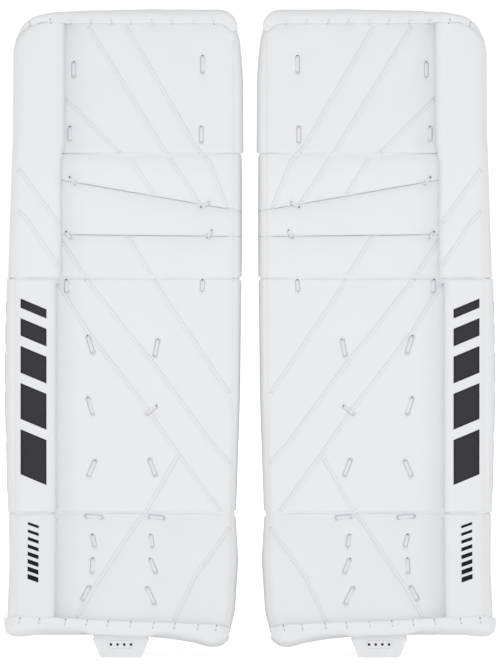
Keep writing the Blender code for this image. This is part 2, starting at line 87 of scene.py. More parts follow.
def table_at(table, share):
    """A value that changes with the share of a length: table is one number or (share, value) pairs."""
    if not isinstance(table, list):
        return np.full(np.shape(share), float(table))
    return np.interp(share, [s for s, _ in table], [value for _, value in table])


def mix(a, b, share):
    return a + (b - a) * share


def ease(low, high, x):
    """0 before low, 1 after high, and smooth between."""
    t = np.clip((x - low) / (high - low), 0.0, 1.0)
    return t * t * (3.0 - 2.0 * t)


print("breaks at", {name: round(at.z, 4) for name, at in BREAKS.items()})

# %% [markdown]
# ## A block of quads
#
# Every stuffed piece starts as the skin of a box: quads on its six sides, laid out in rows. A rule then
# says where each point goes. Rows of quads take a Subdivision Surface well, and the cloth simulation needs
# cells of even size, which the rows give it without a remesh.

# %% The skin of a box
def skin_of_box(us, vs, ws):
    """Station arrays for each point, and the quads, of a closed skin. u runs across, v up and w back."""
    shape = (len(us), len(vs), len(ws))
    i, j, k = np.indices(shape)
    on_skin = ((i == 0) | (i == shape[0] - 1) | (j == 0) | (j == shape[1] - 1)
               | (k == 0) | (k == shape[2] - 1))
    number = np.full(shape, -1)
    number[on_skin] = np.arange(on_skin.sum())
    quads = []
    for axis in range(3):
        for end, turn in ((0, 1), (-1, -1)):
            grid = np.take(number, end, axis=axis)
            cells = np.stack([grid[:-1, :-1], grid[1:, :-1], grid[1:, 1:], grid[:-1, 1:]], axis=-1)
            quads.append(cells.reshape(-1, 4)[:, ::turn])
    u, v, w = (np.asarray(stations, float)[n[on_skin]] for stations, n in ((us, i), (vs, j), (ws, k)))
    return u, v, w, np.concatenate(quads)


def stations(length, cell, edge=0.0):
    """Even shares of a length, about one cell apart, with one more row close to each end."""
    inner = np.linspace(0.0, 1.0, max(2, round(length / cell)) + 1)
    if edge:
        share = edge / length
        inner = np.concatenate([[0.0], np.linspace(share, 1.0 - share, len(inner)), [1.0]])
    return inner


def outward(mesh):
    """Merges doubles and points every face outwards."""
    work = bmesh.new()
    work.from_mesh(mesh)
    bmesh.ops.remove_doubles(work, verts=work.verts, dist=1e-6)
    bmesh.ops.recalc_face_normals(work, faces=work.faces)
    work.to_mesh(mesh)
    work.free()


def piece_from(name, points, faces):
    """A new object at the origin, with its place in its mesh."""
    mesh = bpy.data.meshes.new(name)
    mesh.from_pydata(np.asarray(points).tolist(), [], [list(map(int, face)) for face in faces])
    outward(mesh)
    made = bpy.data.objects.new(name, mesh)
    bpy.context.scene.collection.objects.link(made)
    return made


def points_of(piece):
    found = np.empty(len(piece.data.vertices) * 3, np.float32)
    piece.data.vertices.foreach_get("co", found)
    return found.reshape(-1, 3).astype(float)


def normals_of(piece):
    found = np.empty(len(piece.data.vertices) * 3, np.float32)
    piece.data.vertex_normals.foreach_get("vector", found)
    return found.reshape(-1, 3).astype(float)


def move_points(piece, points):
    piece.data.vertices.foreach_set("co", np.asarray(points, np.float32).ravel())
    piece.data.update()


# %% [markdown]
# ## Stuffing
#
# Foam pushes the leather out between the places that hold it. The Cloth modifier does the same with
# pressure and no gravity. Points that are sewn down are held by a vertex group. How far a point may go is
# capped gently, so a puffed face stays the thickness that the pad's maker cut it to. The modifier is taken
# off once its shape is kept.

# %% Stuff a piece
def keep_shape(piece):
    """Makes what the modifiers give into the piece's own mesh."""
    graph = bpy.context.evaluated_depsgraph_get()
    shaped = bpy.data.meshes.new_from_object(piece.evaluated_get(graph))
    rough, piece.data = piece.data, shaped
    piece.modifiers.clear()
    bpy.data.meshes.remove(rough)


def stuff(piece, held, cap, pressure=4.0, steps=20):
    """Blows a skin up like cloth round foam. held is 1 where a point is sewn down and 0 where it is free."""
    scene = bpy.context.scene
    before = points_of(piece)
    group = piece.vertex_groups.new(name="sewn_down")
    for index, weight in enumerate(held):
        group.add([index], float(weight), "REPLACE")
    cloth = piece.modifiers.new("stuffing", "CLOTH")
    cloth.settings.vertex_group_mass = group.name
    cloth.settings.use_pressure = True
    cloth.settings.uniform_pressure_force = pressure
    cloth.settings.effector_weights.gravity = 0.0
    for step in range(1, steps + 1):
        scene.frame_set(step)
    shaped = piece.evaluated_get(bpy.context.evaluated_depsgraph_get())
    after = np.array([v.co for v in shaped.data.vertices])
    piece.modifiers.clear()
    piece.vertex_groups.clear()
    scene.frame_set(1)
    went = after - before
    far = np.linalg.norm(went, axis=1, keepdims=True)
    move_points(piece, before + went * cap / (cap + far))
    print(piece.name, "stuffed, most", round(float(far.max()) * 1000, 1), "mm before the cap")


def subdivide(piece, levels):
    smooth = piece.modifiers.new("smooth", "SUBSURF")
    smooth.levels = smooth.render_levels = levels
    keep_shape(piece)


# %% [markdown]
# ## Seams, creases and lace points
#
# The lines below are the pad's pattern: where one cut of leather is sewn to the next, as (d, height) in
# millimetres seen square from the front. A seam pulls the leather down into the foam along its line, and a
# lace pulls a dimple at each of its two holes. Both come after the stuffing, because they are finer than
# its cells. A painted shade is also kept as an attribute, strongest along the seams and in the lace holes,
# so the leather's colour darkens there as the shade in those hollows would.

# %% The pattern's lines
SEAMS = {
    "thigh_inner_slant": [(149.3, 759.7), (65.0, 614.0), (49.4, 597.2), (26.5, 538.2)],
    "thigh_middle_slant": [(195.0, 759.7), (103.5, 610.4), (61.4, 546.6)],
    "thigh_outer_slant": [(222.3, 671.8), (158.9, 608.6), (143.3, 599.6), (116.8, 556.9)],
    "shin_middle_slant": [(228.0, 502.1), (197.5, 455.1), (147.4, 391.3), (120.4, 358.8), (45.8, 256.9),
                          (22.9, 232.4)],
    "shin_outer_slant": [(231.2, 449.1), (195.4, 391.3), (128.2, 304.6), (86.0, 243.9), (35.2, 173.9)],
    "shin_inner_slant": [(147.4, 506.9), (116.8, 456.3), (109.6, 443.1), (24.6, 316.7)],
    "boot_outer_slant": [(86.0, 243.9), (126.4, 173.9), (136.1, 162.5), (187.8, 83.7), (208.9, 47.0)],
    "boot_inner_slant": [(24.6, 155.7), (66.8, 97.5), (91.7, 43.3)],
    "roll_upper_slant": [(277.6, 586.7), (230.0, 521.2)],
    "roll_lower_slant": [(277.4, 536.0), (266.4, 523.7), (231.0, 471.4)],
    "inner_edge": [(19.6, 742.0), (19.3, 610.4), (19.9, 453.9), (20.7, 309.4), (22.3, 189.0), (22.9, 164.9),
                   (21.9, 116.8), (24.1, 68.6), (28.9, 42.1)],
    "roll_edge": [(281.0, 722.0), (281.8, 606.0), (281.6, 453.0), (281.2, 300.0), (281.0, 174.0),
                  (281.0, 50.0)],
}
LACES = [
    ((212.7, 716.4), (212.7, 699.5)), ((57.2, 723.6), (57.2, 704.3)), ((217.1, 638.1), (217.1, 622.5)),
    ((58.8, 638.1), (58.8, 620.1)), ((216.7, 577.4), (211.5, 569.7)), ((58.4, 542.4), (49.8, 547.6)),
    ((221.5, 511.5), (216.9, 504.7)), ((46.4, 513.3), (51.2, 505.9)), ((221.5, 453.4), (220.9, 439.7)),
    ((57.2, 453.2), (57.8, 440.9)), ((195.4, 385.9), (189.0, 366.0)), ((110.8, 381.7), (114.7, 362.4)),
    ((195.0, 311.8), (189.0, 292.6)), ((113.2, 302.2), (125.2, 292.6)), ((186.6, 236.0), (194.4, 217.9)),
    ((120.9, 237.8), (113.8, 218.6)), ((197.5, 169.8), (177.8, 168.0)), ((122.0, 169.2), (103.5, 167.4)),
    ((189.6, 146.9), (186.6, 133.6)), ((119.6, 146.9), (117.6, 133.6)), ((189.0, 118.6), (189.6, 102.3)),
    ((119.9, 118.0), (113.2, 102.3)), ((192.6, 85.5), (201.1, 69.8)), ((124.0, 84.3), (114.7, 65.5)),
]
SEAM_DEPTH, SEAM_HALF_WIDTH = 0.0005, 0.0030
QUILT_DEPTH, QUILT_HALF_WIDTH = 0.0006, 0.0090
DIMPLE_DEPTH, DIMPLE_RADIUS = 0.0011, 0.0024
PUCKER_DEPTH, PUCKER_RADIUS = 0.0007, 0.0100
METRES = 0.001


def to_line(flat, line):
    """Each flat (d, z) point's distance to a line of corners."""
    corners = np.array(line) * METRES
    nearest = np.full(len(flat), 1e9)
    for a, b in zip(corners, corners[1:]):
        run = b - a
        t = np.clip(((flat - a) @ run) / (run @ run), 0.0, 1.0)
        nearest = np.minimum(nearest, np.linalg.norm(flat - a - t[:, None] * run, axis=1))
    return nearest


def bell(x, width):
    return np.exp(-(x / width) ** 2)


def ripple(flat, seed, height, longest=0.085, shortest=0.022, count=14):
    """Slow unevenness of leather over foam: a few waves in random directions, from a fixed seed."""
    draw = np.random.default_rng(seed)
    total = np.zeros(len(flat))
    for _ in range(count):
        wave = draw.uniform(shortest, longest)
        turn, shift = draw.uniform(0.0, math.pi), draw.uniform(0.0, 2 * math.pi)
        along = flat @ np.array([math.cos(turn), math.sin(turn)])
        total += np.sin(along * 2 * math.pi / wave + shift) * wave / longest
    return height * total / math.sqrt(count)


def sew(piece, seed, waves=0.00035):
    """Pulls the seams and lace points into a finished skin, and keeps a painted shade along them as an
    attribute.
    """
    points, normals = points_of(piece), normals_of(piece)
    flat = points[:, [0, 2]]
    facing = ease(0.15, 0.65, -normals[:, 1])
    # shade is painted shade for the leather's colour: it darkens the seams and, most, the lace holes, where
    # real shade falls.
    down, shade = -ripple(flat, seed, waves), np.zeros(len(flat))
    for line in SEAMS.values():
        off = to_line(flat, line)
        down += SEAM_DEPTH * bell(off, SEAM_HALF_WIDTH) + QUILT_DEPTH * bell(off, QUILT_HALF_WIDTH)
        shade = np.maximum(shade, 0.08 * bell(off, SEAM_HALF_WIDTH))
    for hole in [np.array(end) * METRES for lace in LACES for end in lace]:
        off = np.linalg.norm(flat - hole, axis=1)
        down += DIMPLE_DEPTH * bell(off, DIMPLE_RADIUS) + PUCKER_DEPTH * bell(off, PUCKER_RADIUS)
        shade = np.maximum(shade, 0.8 * bell(off, DIMPLE_RADIUS))
    move_points(piece, points - normals * (down * facing)[:, None])
    kept = piece.data.attributes.new("seam_shade", "FLOAT", "POINT")
    kept.data.foreach_set("value", (shade * facing).astype(np.float32))


print("sewn lines", len(SEAMS), "laces", len(LACES))

# %% [markdown]
# ## Finishes
#
# One function adds a shader node with its settings and its links, and the materials below are written with
# it. Each is named for what the real surface is made of, but for two that are painted shadow round the
# laces and in the holes. Colours are given as a paint shop would, in hex, and turned to the linear values
# that the shader wants.

# %% Tools for finishes
def colour(hex_code):
    """A linear colour from an sRGB hex value."""
    parts = [int(hex_code[i:i + 2], 16) / 255 for i in (1, 3, 5)]
    return (*[p / 12.92 if p <= 0.04045 else ((p + 0.055) / 1.055) ** 2.4 for p in parts], 1.0)


def add(tree, kind, settings=None, inputs=None):
    """Adds a node. An input is a value, or the output of another node to link from."""
    node = tree.nodes.new(kind)
    for name, value in (settings or {}).items():
        setattr(node, name, value)
    for name, value in (inputs or {}).items():
        if isinstance(value, bpy.types.NodeSocket):
            tree.links.new(value, node.inputs[name])
        else:
            node.inputs[name].default_value = value
    return node


def blank_finish(name):
    """A material with an empty tree but for its shader and output, and object coordinates in metres."""
    finish = bpy.data.materials.new(name)
    finish.use_nodes = True
    tree = finish.node_tree
    tree.nodes.clear()
    shader = add(tree, "ShaderNodeBsdfPrincipled")
    add(tree, "ShaderNodeOutputMaterial", None, {"Surface": shader.outputs["BSDF"]})
    return finish, tree, shader, add(tree, "ShaderNodeTexCoord").outputs["Object"]


def per_mm(size):
    """The texture scale that gives one cell in that many millimetres."""
    return 1000.0 / size


def blend_colours(tree, share, first, second):
    """The colour between two, by share."""
    made = add(tree, "ShaderNodeMix", {"data_type": "RGBA"}, {0: share, 6: first, 7: second})
    return made.outputs[2]


# %% [markdown]
# ### White leather
#
# The skin is synthetic leather: knitted cloth under a polyurethane coat, pressed with a fine pebble grain.
# The coat gives a soft satin highlight, and the grain breaks it up. Voronoi cells give the pebbles and
# noise the pores between them. Real grain is about 0.6 mm, drawn at 1.3 mm so that it shows. Seams hold a
# painted warm grey shade, from the attribute that sewing left, made uneven by noise. The bindings use the
# same coat unpressed, so only the fine noise is left and it shines more.

# %% Coated leathers
def coated_leather(name, base, warm, shade, grain, grain_height, roughness):
    finish, tree, shader, place = blank_finish(name)
    slow = add(tree, "ShaderNodeTexNoise", None, {"Vector": place, "Scale": per_mm(55.0), "Detail": 3.0})
    tint = blend_colours(tree, slow.outputs["Fac"], colour(base), colour(warm))
    # Painted shade: the seam attribute, made uneven by noise, mixes the colour towards the shade colour.
    kept = add(tree, "ShaderNodeAttribute", {"attribute_name": "seam_shade"})
    shade_breakup = add(tree, "ShaderNodeTexNoise", None, {"Vector": place, "Scale": per_mm(9.0), "Detail": 2.0})
    share = add(tree, "ShaderNodeMapRange", None,
                {"Value": shade_breakup.outputs["Fac"], "To Min": 0.45, "To Max": 0.95})
    held = add(tree, "ShaderNodeMath", {"operation": "MULTIPLY"},
               {0: kept.outputs["Fac"], 1: share.outputs[0]})
    tint = blend_colours(tree, held.outputs[0], tint, colour(shade))
    tree.links.new(tint, shader.inputs["Base Color"])
    pebble = add(tree, "ShaderNodeTexVoronoi", {"feature": "SMOOTH_F1"},
                 {"Vector": place, "Scale": per_mm(grain), "Smoothness": 0.6, "Randomness": 0.9})
    pores = add(tree, "ShaderNodeTexNoise", None,
                {"Vector": place, "Scale": per_mm(grain * 0.45), "Detail": 4.0})
    level = add(tree, "ShaderNodeMath", {"operation": "MULTIPLY_ADD"},
                {0: pores.outputs["Fac"], 1: 0.35, 2: pebble.outputs["Distance"]})
    bump = add(tree, "ShaderNodeBump", {"invert": True},
               {"Height": level.outputs[0], "Strength": 0.55, "Distance": grain_height * METRES})
    tree.links.new(bump.outputs[0], shader.inputs["Normal"])
    gloss = add(tree, "ShaderNodeMapRange", None,
                {"Value": pores.outputs["Fac"], "To Min": roughness - 0.05, "To Max": roughness + 0.09})
    tree.links.new(gloss.outputs[0], shader.inputs["Roughness"])
    shader.inputs["IOR"].default_value = 1.47
    shader.inputs["Coat Weight"].default_value = 0.08
    shader.inputs["Coat Roughness"].default_value = 0.35
    return finish


# The third colour of each leather is its painted shade, which the seams, channels and lace holes take from
# their attribute.
WHITE_LEATHER = coated_leather("pu_leather_white_embossed", "#E8E9EB", "#E5E6E8", "#C4C3BF", 1.3, 0.10, 0.46)
BINDING_LEATHER = coated_leather("pu_leather_white_smooth", "#E8E9EB", "#E5E6E8", "#C2C1BE", 2.2, 0.05, 0.38)
print("leathers", WHITE_LEATHER.name, BINDING_LEATHER.name)

# %% [markdown]
# ### Cloths behind the pad
#
# The lining that holds the leg is knitted nylon in charcoal, which looks matte with a soft sheen at
# glancing angles. Its loops are a brick pattern of about 1.6 mm. The straps are woven nylon webbing: ribs
# across the strap from two waves, with the second at right angles for the yarns. The landing under the knee
# is a tougher plain weave.

# %% Lining, webbing and plain weave
def crossed_waves(tree, place, across, along, profile="SIN"):
    """Two sets of ridges at right angles in the plane that is seen, multiplied: the look of a weave."""
    made = []
    for direction, size in (("X", across), ("Z", along)):
        made.append(add(tree, "ShaderNodeTexWave", {"bands_direction": direction, "wave_profile": profile},
                        {"Vector": place, "Scale": per_mm(size) / 6.2832 * 2, "Distortion": 0.6,
                         "Detail": 1.0,
                         "Detail Scale": 3.0}).outputs["Fac"])
    return made


def cloth_finish(name, dark, light, across, along, height, roughness, sheen):
    finish, tree, shader, place = blank_finish(name)
    first, second = crossed_waves(tree, place, across, along)
    crossed = add(tree, "ShaderNodeMath", {"operation": "MULTIPLY"}, {0: first, 1: second})
    slow = add(tree, "ShaderNodeTexNoise", None, {"Vector": place, "Scale": per_mm(28.0), "Detail": 3.0})
    lit = add(tree, "ShaderNodeMath", {"operation": "MULTIPLY_ADD"},
              {0: slow.outputs["Fac"], 1: 0.5, 2: crossed.outputs[0]})
    tree.links.new(blend_colours(tree, lit.outputs[0], colour(dark), colour(light)),
                   shader.inputs["Base Color"])
    bump = add(tree, "ShaderNodeBump", None,
               {"Height": crossed.outputs[0], "Strength": 0.8, "Distance": height * METRES})
    tree.links.new(bump.outputs[0], shader.inputs["Normal"])
    shader.inputs["Roughness"].default_value = roughness
    shader.inputs["Sheen Weight"].default_value = sheen
    shader.inputs["Sheen Roughness"].default_value = 0.5
    return finish


LINING = cloth_finish("nylon_lining_knitted_charcoal", "#17181B", "#34363B", 1.6, 2.2, 0.25, 0.88, 0.25)
WEBBING = cloth_finish("nylon_webbing_woven_black", "#0B0B0D", "#26272B", 2.4, 1.6, 0.35, 0.62, 0.12)
LANDING_CLOTH = cloth_finish("nylon_abrasion_plain_weave", "#1E1F22", "#3C3E43", 1.2, 1.2, 0.30, 0.72, 0.15)

# %% [markdown]
# ### Foam, sheet, thread, lace and film
#
# The foam inside is cross-linked polyethylene, whose skin shows closed cells. The stiffener is polyethylene
# sheet with faint draw lines. Sewing thread is bonded polyester, twisted, so it has fine slanting ribs. The
# laces are waxed flat cord. The marks are urethane film, pressed on hot, with a fine print grain.

# %% Small finishes
def plain_finish(name, dark, light, cell, height, roughness, **sockets):
    """A finish with a two-tone grain and a matching bump; sockets are more values of the shader's own."""
    finish, tree, shader, place = blank_finish(name)
    grain = add(tree, "ShaderNodeTexNoise", None, {"Vector": place, "Scale": per_mm(cell), "Detail": 5.0})
    tree.links.new(blend_colours(tree, grain.outputs["Fac"], colour(dark), colour(light)),
                   shader.inputs["Base Color"])
    bump = add(tree, "ShaderNodeBump", None,
               {"Height": grain.outputs["Fac"], "Strength": 0.6, "Distance": height * METRES})
    tree.links.new(bump.outputs[0], shader.inputs["Normal"])
    shader.inputs["Roughness"].default_value = roughness
    for socket, value in sockets.items():
        shader.inputs[socket.replace("_", " ")].default_value = value
    return finish


FOAM = plain_finish("polyethylene_foam_closed_cell", "#A9ADB4", "#C3C6CB", 2.0, 0.30, 0.85)
SHEET = plain_finish("polyethylene_sheet_extruded", "#C2C6C6", "#D0D3D3", 6.0, 0.05, 0.38)
# The thread itself is white; its grey is painted shade, the faint line that the stitches' own shadows draw.
THREAD = plain_finish("polyester_thread_bonded_white", "#BFC0C4", "#D6D7DA", 0.8, 0.10, 0.55,
                      Sheen_Weight=0.2)
LACE_CORD = plain_finish("waxed_lace_cord_white", "#DDDDE3", "#E7E7ED", 1.2, 0.12, 0.50, Sheen_Weight=0.15)
# The grey rim laid under each lace, a little wider than the strand, is painted shadow: it draws the outline
# that the lace's edges would shade.
LACE_SHADOW_RIM = plain_finish("pu_leather_white_pressed_bed", "#C8C9D0", "#D2D3D9", 1.0, 0.05, 0.60)
# The dark discs at the lace holes are painted shadow: they stand for the shade inside each punched hole.
HOLE_SHADOW = plain_finish("punched_hole_dark_core", "#222226", "#3A3A40", 1.5, 0.10, 0.90)
MARK_FILM = plain_finish("urethane_film_charcoal", "#211F26", "#2A2830", 0.9, 0.04, 0.50,
                         Specular_IOR_Level=0.3)
SMALL_MARK_FILM = plain_finish("urethane_film_black", "#050506", "#0C0C0E", 0.9, 0.04, 0.50,
                               Specular_IOR_Level=0.2)
HOOK_TAPE = plain_finish("hook_tape_moulded_nylon_black", "#08080A", "#1C1D20", 1.1, 0.50, 0.70)
print("materials", len(bpy.data.materials))

# %% [markdown]
# ## Finish a piece for both pads
#
# The right pad is the left one seen in a mirror. When a left piece is done, its mesh is copied with X
# turned round, which turns its faces inside out, so they are flipped back. Each of the two then rides on
# its own body, or, for a piece that crosses a joint, keeps its place in the world and rides on none, and
# says which parts of the imported model it stands for.

# %% Ride and mirror
finished = {}


def settle(piece, finish, body=None, bend=None, stands_for=()):
    """Finishes the left piece and its mirrored copy. bend is (body, body, start, end), across a joint; only
    whether it is given is used, and a piece with one keeps its place in the world on no body.
    """
    name = piece.name
    finished[name] = piece
    piece.data.materials.clear()
    piece.data.materials.append(finish)
    piece.data.shade_smooth()
    mesh = piece.data.copy()
    mesh.transform(Matrix.Scale(-1.0, 4, (1.0, 0.0, 0.0)))
    mesh.flip_normals()
    ending = "_finished" if name in stands_for else ""
    twin = bpy.data.objects.new(f"right_{name}{ending}", mesh)
    bpy.context.scene.collection.objects.link(twin)
    piece.name = piece.data.name = f"left_{name}{ending}"
    for side, one, way in (("left", piece, 1.0), ("right", twin, -1.0)):
        if bend:
            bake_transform(one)
        else:
            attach(one, f"{side}_{body}")
        if stands_for:
            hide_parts(*[f"{side}_{node}" for node in stands_for])
    return piece


# %% [markdown]
# ## The face panels
#
# A panel is one skin round its foam: flat in front, with its edges rolled over. The rule below gives its
# outline at each depth. Its inner edge curves over 10 to 13 mm, the other edges are tighter, and beside the
# outer roll the face falls away over a few centimetres into a valley. The ends lean away from the breaks
# behind the face, which leaves the wedge of room that the pad closes when it bends.

# %% Rules for a face panel
BACK_SLOPE = math.tan(math.radians(8.0))
CELL = 0.0070
INNER_ROUND, INNER_ROUND_DEPTH = 0.0115, 0.0140
TUCK_UNDER, END_ROUND, END_ROUND_DEPTH = 0.0035, 0.0020, 0.0020
VALLEY_FALL, VALLEY_WIDTH = 0.0042, 0.030
CREASE = 0.0001


def end_gap(y):
    """How far a section's end stays from its break at a depth."""
    return CREASE + np.maximum(y, 0.0) * BACK_SLOPE


def rounded(y, radius, depth):
    """How far an edge is pulled in at a depth from the front, for a quarter-ellipse edge."""
    t = np.clip(1.0 - y / depth, 0.0, 1.0)
    return radius * (1.0 - np.sqrt(1.0 - t * t))


def panel_depths(depth):
    front = np.array([0.0, 0.0008, 0.0026, 0.0056, 0.0100, 0.0150])
    back = np.arange(0.0210, depth - 0.003, CELL)
    return np.concatenate([front, back, [depth - 0.0025, depth]])


def face_panel(name, section, inner, valley, low, high, seed, crown=0.0022, low_tuck=0.0, high_tuck=0.0):
    """A leather panel over foam. inner and valley give its edges by height share, low and high its ends.
    An end with a tuck runs that far under its binding instead of rounding over."""
    deep, tall = FACE_DEPTH, LENGTH[section]
    depths = panel_depths(deep)
    u, v, y, quads = skin_of_box(stations(0.215, CELL, 0.003), stations(tall, CELL, 0.0028), depths)
    back_round = rounded(deep - y, 0.0025, 0.0045)
    near = table_at(inner, v) + rounded(y, INNER_ROUND, INNER_ROUND_DEPTH) + back_round
    far = table_at(valley, v) + TUCK_UNDER - back_round
    d = mix(near, far, u)
    ends = rounded(y, END_ROUND, END_ROUND_DEPTH) + back_round
    z = mix(low(d, y) + ends * (not low_tuck) - low_tuck, high(d, y) - ends * (not high_tuck) + high_tuck, v)
    fall = VALLEY_FALL * (1.0 - ease(0.0, VALLEY_WIDTH, far - TUCK_UNDER - d)) - crown * np.sin(math.pi
            * u) ** 0.7
    front = 1.0 - np.clip(y / 0.030, 0.0, 1.0)
    depth = y + (fall + 0.0012) * front
    panel = piece_from(name, stand(section, d, depth, z), quads)
    edge = np.minimum(np.minimum(v, 1.0 - v) * tall, np.minimum(u, 1.0 - u) * 0.215)
    held = np.where(y > 0.0, 1.0, 1.0 - ease(0.002, 0.016, edge))
    flat = points_of(panel)[:, [0, 2]]
    for lace in LACES:
        held = np.maximum(held, bell(to_line(flat, lace), 0.008))
    stuff(panel, held, 0.0030)
    subdivide(panel, 2)
    sew(panel, seed)
    return panel


INNER = {
    "thigh": 0.0080, "knee": 0.0100, "shin": [(0.0, 0.0165), (0.5, 0.0122), (1.0, 0.0105)],
    "boot": [(0.0, 0.0245), (0.2, 0.0180), (0.65, 0.0142), (1.0, 0.0170)],
}
BOOT_DROP = 0.0108


def boot_floor(d):
    """The boot's lower edge runs down towards the inner side."""
    return -LENGTH["boot"] - BOOT_DROP * (0.2915 - d) / (0.2915 - 0.0245)


# %% [markdown]
# ### Shin panel
#
# The tallest panel, between the knee break and the boot break.

# %% Shin panel
shin_panel = face_panel("shin_cover", "shin", INNER["shin"], 0.2328,
                        lambda d, y: end_gap(y), lambda d, y: LENGTH["shin"] - end_gap(y), seed=3)
print("shin panel points", len(shin_panel.data.vertices))

# %% [markdown]
# ### Boot panel
#
# It leans forward over the skate, widens a little at its middle, and its lower edge drops towards the inside.

# %% Boot panel
boot_panel = face_panel("boot_cover", "boot", INNER["boot"], 0.2328,
                        lambda d, y: boot_floor(d), lambda d, y: -end_gap(y), seed=5, low_tuck=0.0030)

# %% [markdown]
# ### Thigh panel
#
# The top panel. Its upper inner corner is an arc, so the inner edge is a table of heights that follows the
# arc.

# %% Thigh panel
THIGH_CORNER = 0.026
thigh_inner = [(0.0, 0.0080), (0.557, 0.0084), (0.709, 0.0098), (0.861, 0.0122), (0.925, 0.0148),
               (0.960, 0.0180),
               (0.985, 0.0230), (1.0, 0.0300)]
thigh_panel = face_panel("thigh_cover", "thigh", thigh_inner, 0.2226,
                         lambda d, y: end_gap(y), lambda d, y: np.full(np.shape(y), LENGTH["thigh"]), seed=7,
                         high_tuck=0.0030)

# %% [markdown]
# ## Knee rolls
#
# Three soft rolls lie across the knee, so the face can bend there. Each is a low pillow of its own: it is
# fullest along its middle and tucks down at the seams between the rolls. The upper seam slants. They start
# slim and the stuffing rounds them.

# %% Knee rolls
UPPER_SEAM, LOWER_SEAM = (0.1185, 0.0808), (0.0528, 0.0505)
ROLL_BASE_FRONT = 0.0216


def knee_seam(line, d):
    return mix(line[0], line[1], (0.2270 - d) / 0.2170)


def knee_roll(name, low, high, tall, seed):
    depths = np.array([0.0, 0.0008, 0.0026, 0.0056, 0.0100, 0.0150, ROLL_BASE_FRONT])
    u, v, y, quads = skin_of_box(stations(0.215, CELL, 0.003), stations(tall, 0.0062, 0.0024), depths)
    near = 0.0100 + rounded(y, INNER_ROUND, INNER_ROUND_DEPTH)
    far = np.full(np.shape(v), 0.2266 + TUCK_UNDER)
    d = mix(near, far, u)
    tuck = rounded(y, 0.0022, 0.0024) * ease(0.03, 0.12, u)
    z = mix(low(d, y) + tuck, high(d, y) - tuck, v)
    pillow = 0.0030 * np.sin(math.pi * np.clip(v, 0.0, 1.0)) ** 0.6 * (1.0 - 0.4 * np.abs(2 * u - 1) ** 3)
    fall = VALLEY_FALL * 0.8 * (1.0 - ease(0.0, VALLEY_WIDTH, far - TUCK_UNDER - d)) - pillow
    depth = y + (fall + 0.0010) * (1.0 - np.clip(y / 0.018, 0.0, 1.0))
    roll = piece_from(name, stand("knee", d, depth, z), quads)
    edge = np.minimum(np.minimum(v, 1.0 - v) * tall, np.minimum(u, 1.0 - u) * 0.215)
    held = np.where(y > 0.002, 1.0, 1.0 - ease(0.001, 0.012, edge))
    stuff(roll, held, 0.0026)
    subdivide(roll, 2)
    sew(roll, seed, waves=0.0003)
    return settle(roll, WHITE_LEATHER, body="knee", stands_for=[name])


KNEE_TOP = LENGTH["knee"]
knee_roll("knee_roll_lower", lambda d, y: end_gap(y), lambda d, y: knee_seam(LOWER_SEAM, d), 0.051, 11)
knee_roll("knee_roll_middle", lambda d, y: knee_seam(LOWER_SEAM, d), lambda d, y: knee_seam(UPPER_SEAM, d),
          0.048, 12)
knee_roll("knee_roll_upper", lambda d, y: knee_seam(UPPER_SEAM, d), lambda d, y: KNEE_TOP - end_gap(y),
          0.051, 13)
print("knee rolls made")

# %% [markdown]
# ### Settle the panels
#
# Each panel's one skin stands for both the leather cover and the foam core inside it.

# %% Settle the panels
for panel, section in ((shin_panel, "shin"), (boot_panel, "boot"), (thigh_panel, "thigh")):
    settle(panel, WHITE_LEATHER, body=section, stands_for=[f"{section}_cover", f"{section}_core"])

# %% [markdown]
# ## The outer roll
#
# A firm roll stands 15 mm proud down the outside. Seen from the front it is a flat band, with its outer
# edge rolled over to the side wall. On the shin and boot it is cut at the breaks.

# %% Rules for the outer roll
ROLL_BACK = FACE_DEPTH + 0.002


def roll_depths():
    front = np.array([0.0, 0.0012, 0.0038, 0.0078, 0.0125])
    back = np.arange(0.0185, 0.060, CELL)
    return np.concatenate([front, back, [0.0625, 0.065]]) - ROLL_PROUD


def roll_shape(y, v, valley, outer):
    """The near and far edges of the roll at each depth and height."""
    from_front = y + ROLL_PROUD
    back = rounded(ROLL_BACK - y, 0.0050, 0.0060)
    near = table_at(valley, v) + 0.0004 + rounded(from_front, 0.0060, 0.0075)
    far = table_at(outer, v) - rounded(from_front, 0.0120, 0.0140) - back
    return near, far


def outer_roll(name, section, valley, outer, low, high, seed, low_tuck=0.0):
    tall = LENGTH[section]
    u, v, y, quads = skin_of_box(stations(0.052, 0.0061, 0.0025), stations(tall, CELL, 0.0030), roll_depths())
    near, far = roll_shape(y, v, valley, outer)
    d = mix(near, far, u)
    ends = rounded(y + ROLL_PROUD, 0.0020, 0.0032)
    z = mix(low(y) + ends * (not low_tuck) - low_tuck, high(y) - ends, v)
    crown = 0.0012 * np.sin(math.pi * u) ** 0.8 * (1.0 - np.clip((y + ROLL_PROUD) / 0.02, 0.0, 1.0))
    roll = piece_from(name, stand(section, d, y + 0.0012 - crown, z), quads)
    edge = np.minimum(np.minimum(v, 1.0 - v) * tall, np.minimum(u, 1.0 - u) * 0.05)
    held = np.where(u == 1.0, 0.35, np.where(y > -ROLL_PROUD, 1.0, 1.0 - ease(0.002, 0.012, edge)))
    stuff(roll, held, 0.0020)
    subdivide(roll, 2)
    sew(roll, seed, waves=0.00030)
    return settle(roll, WHITE_LEATHER, body=section, stands_for=[name])


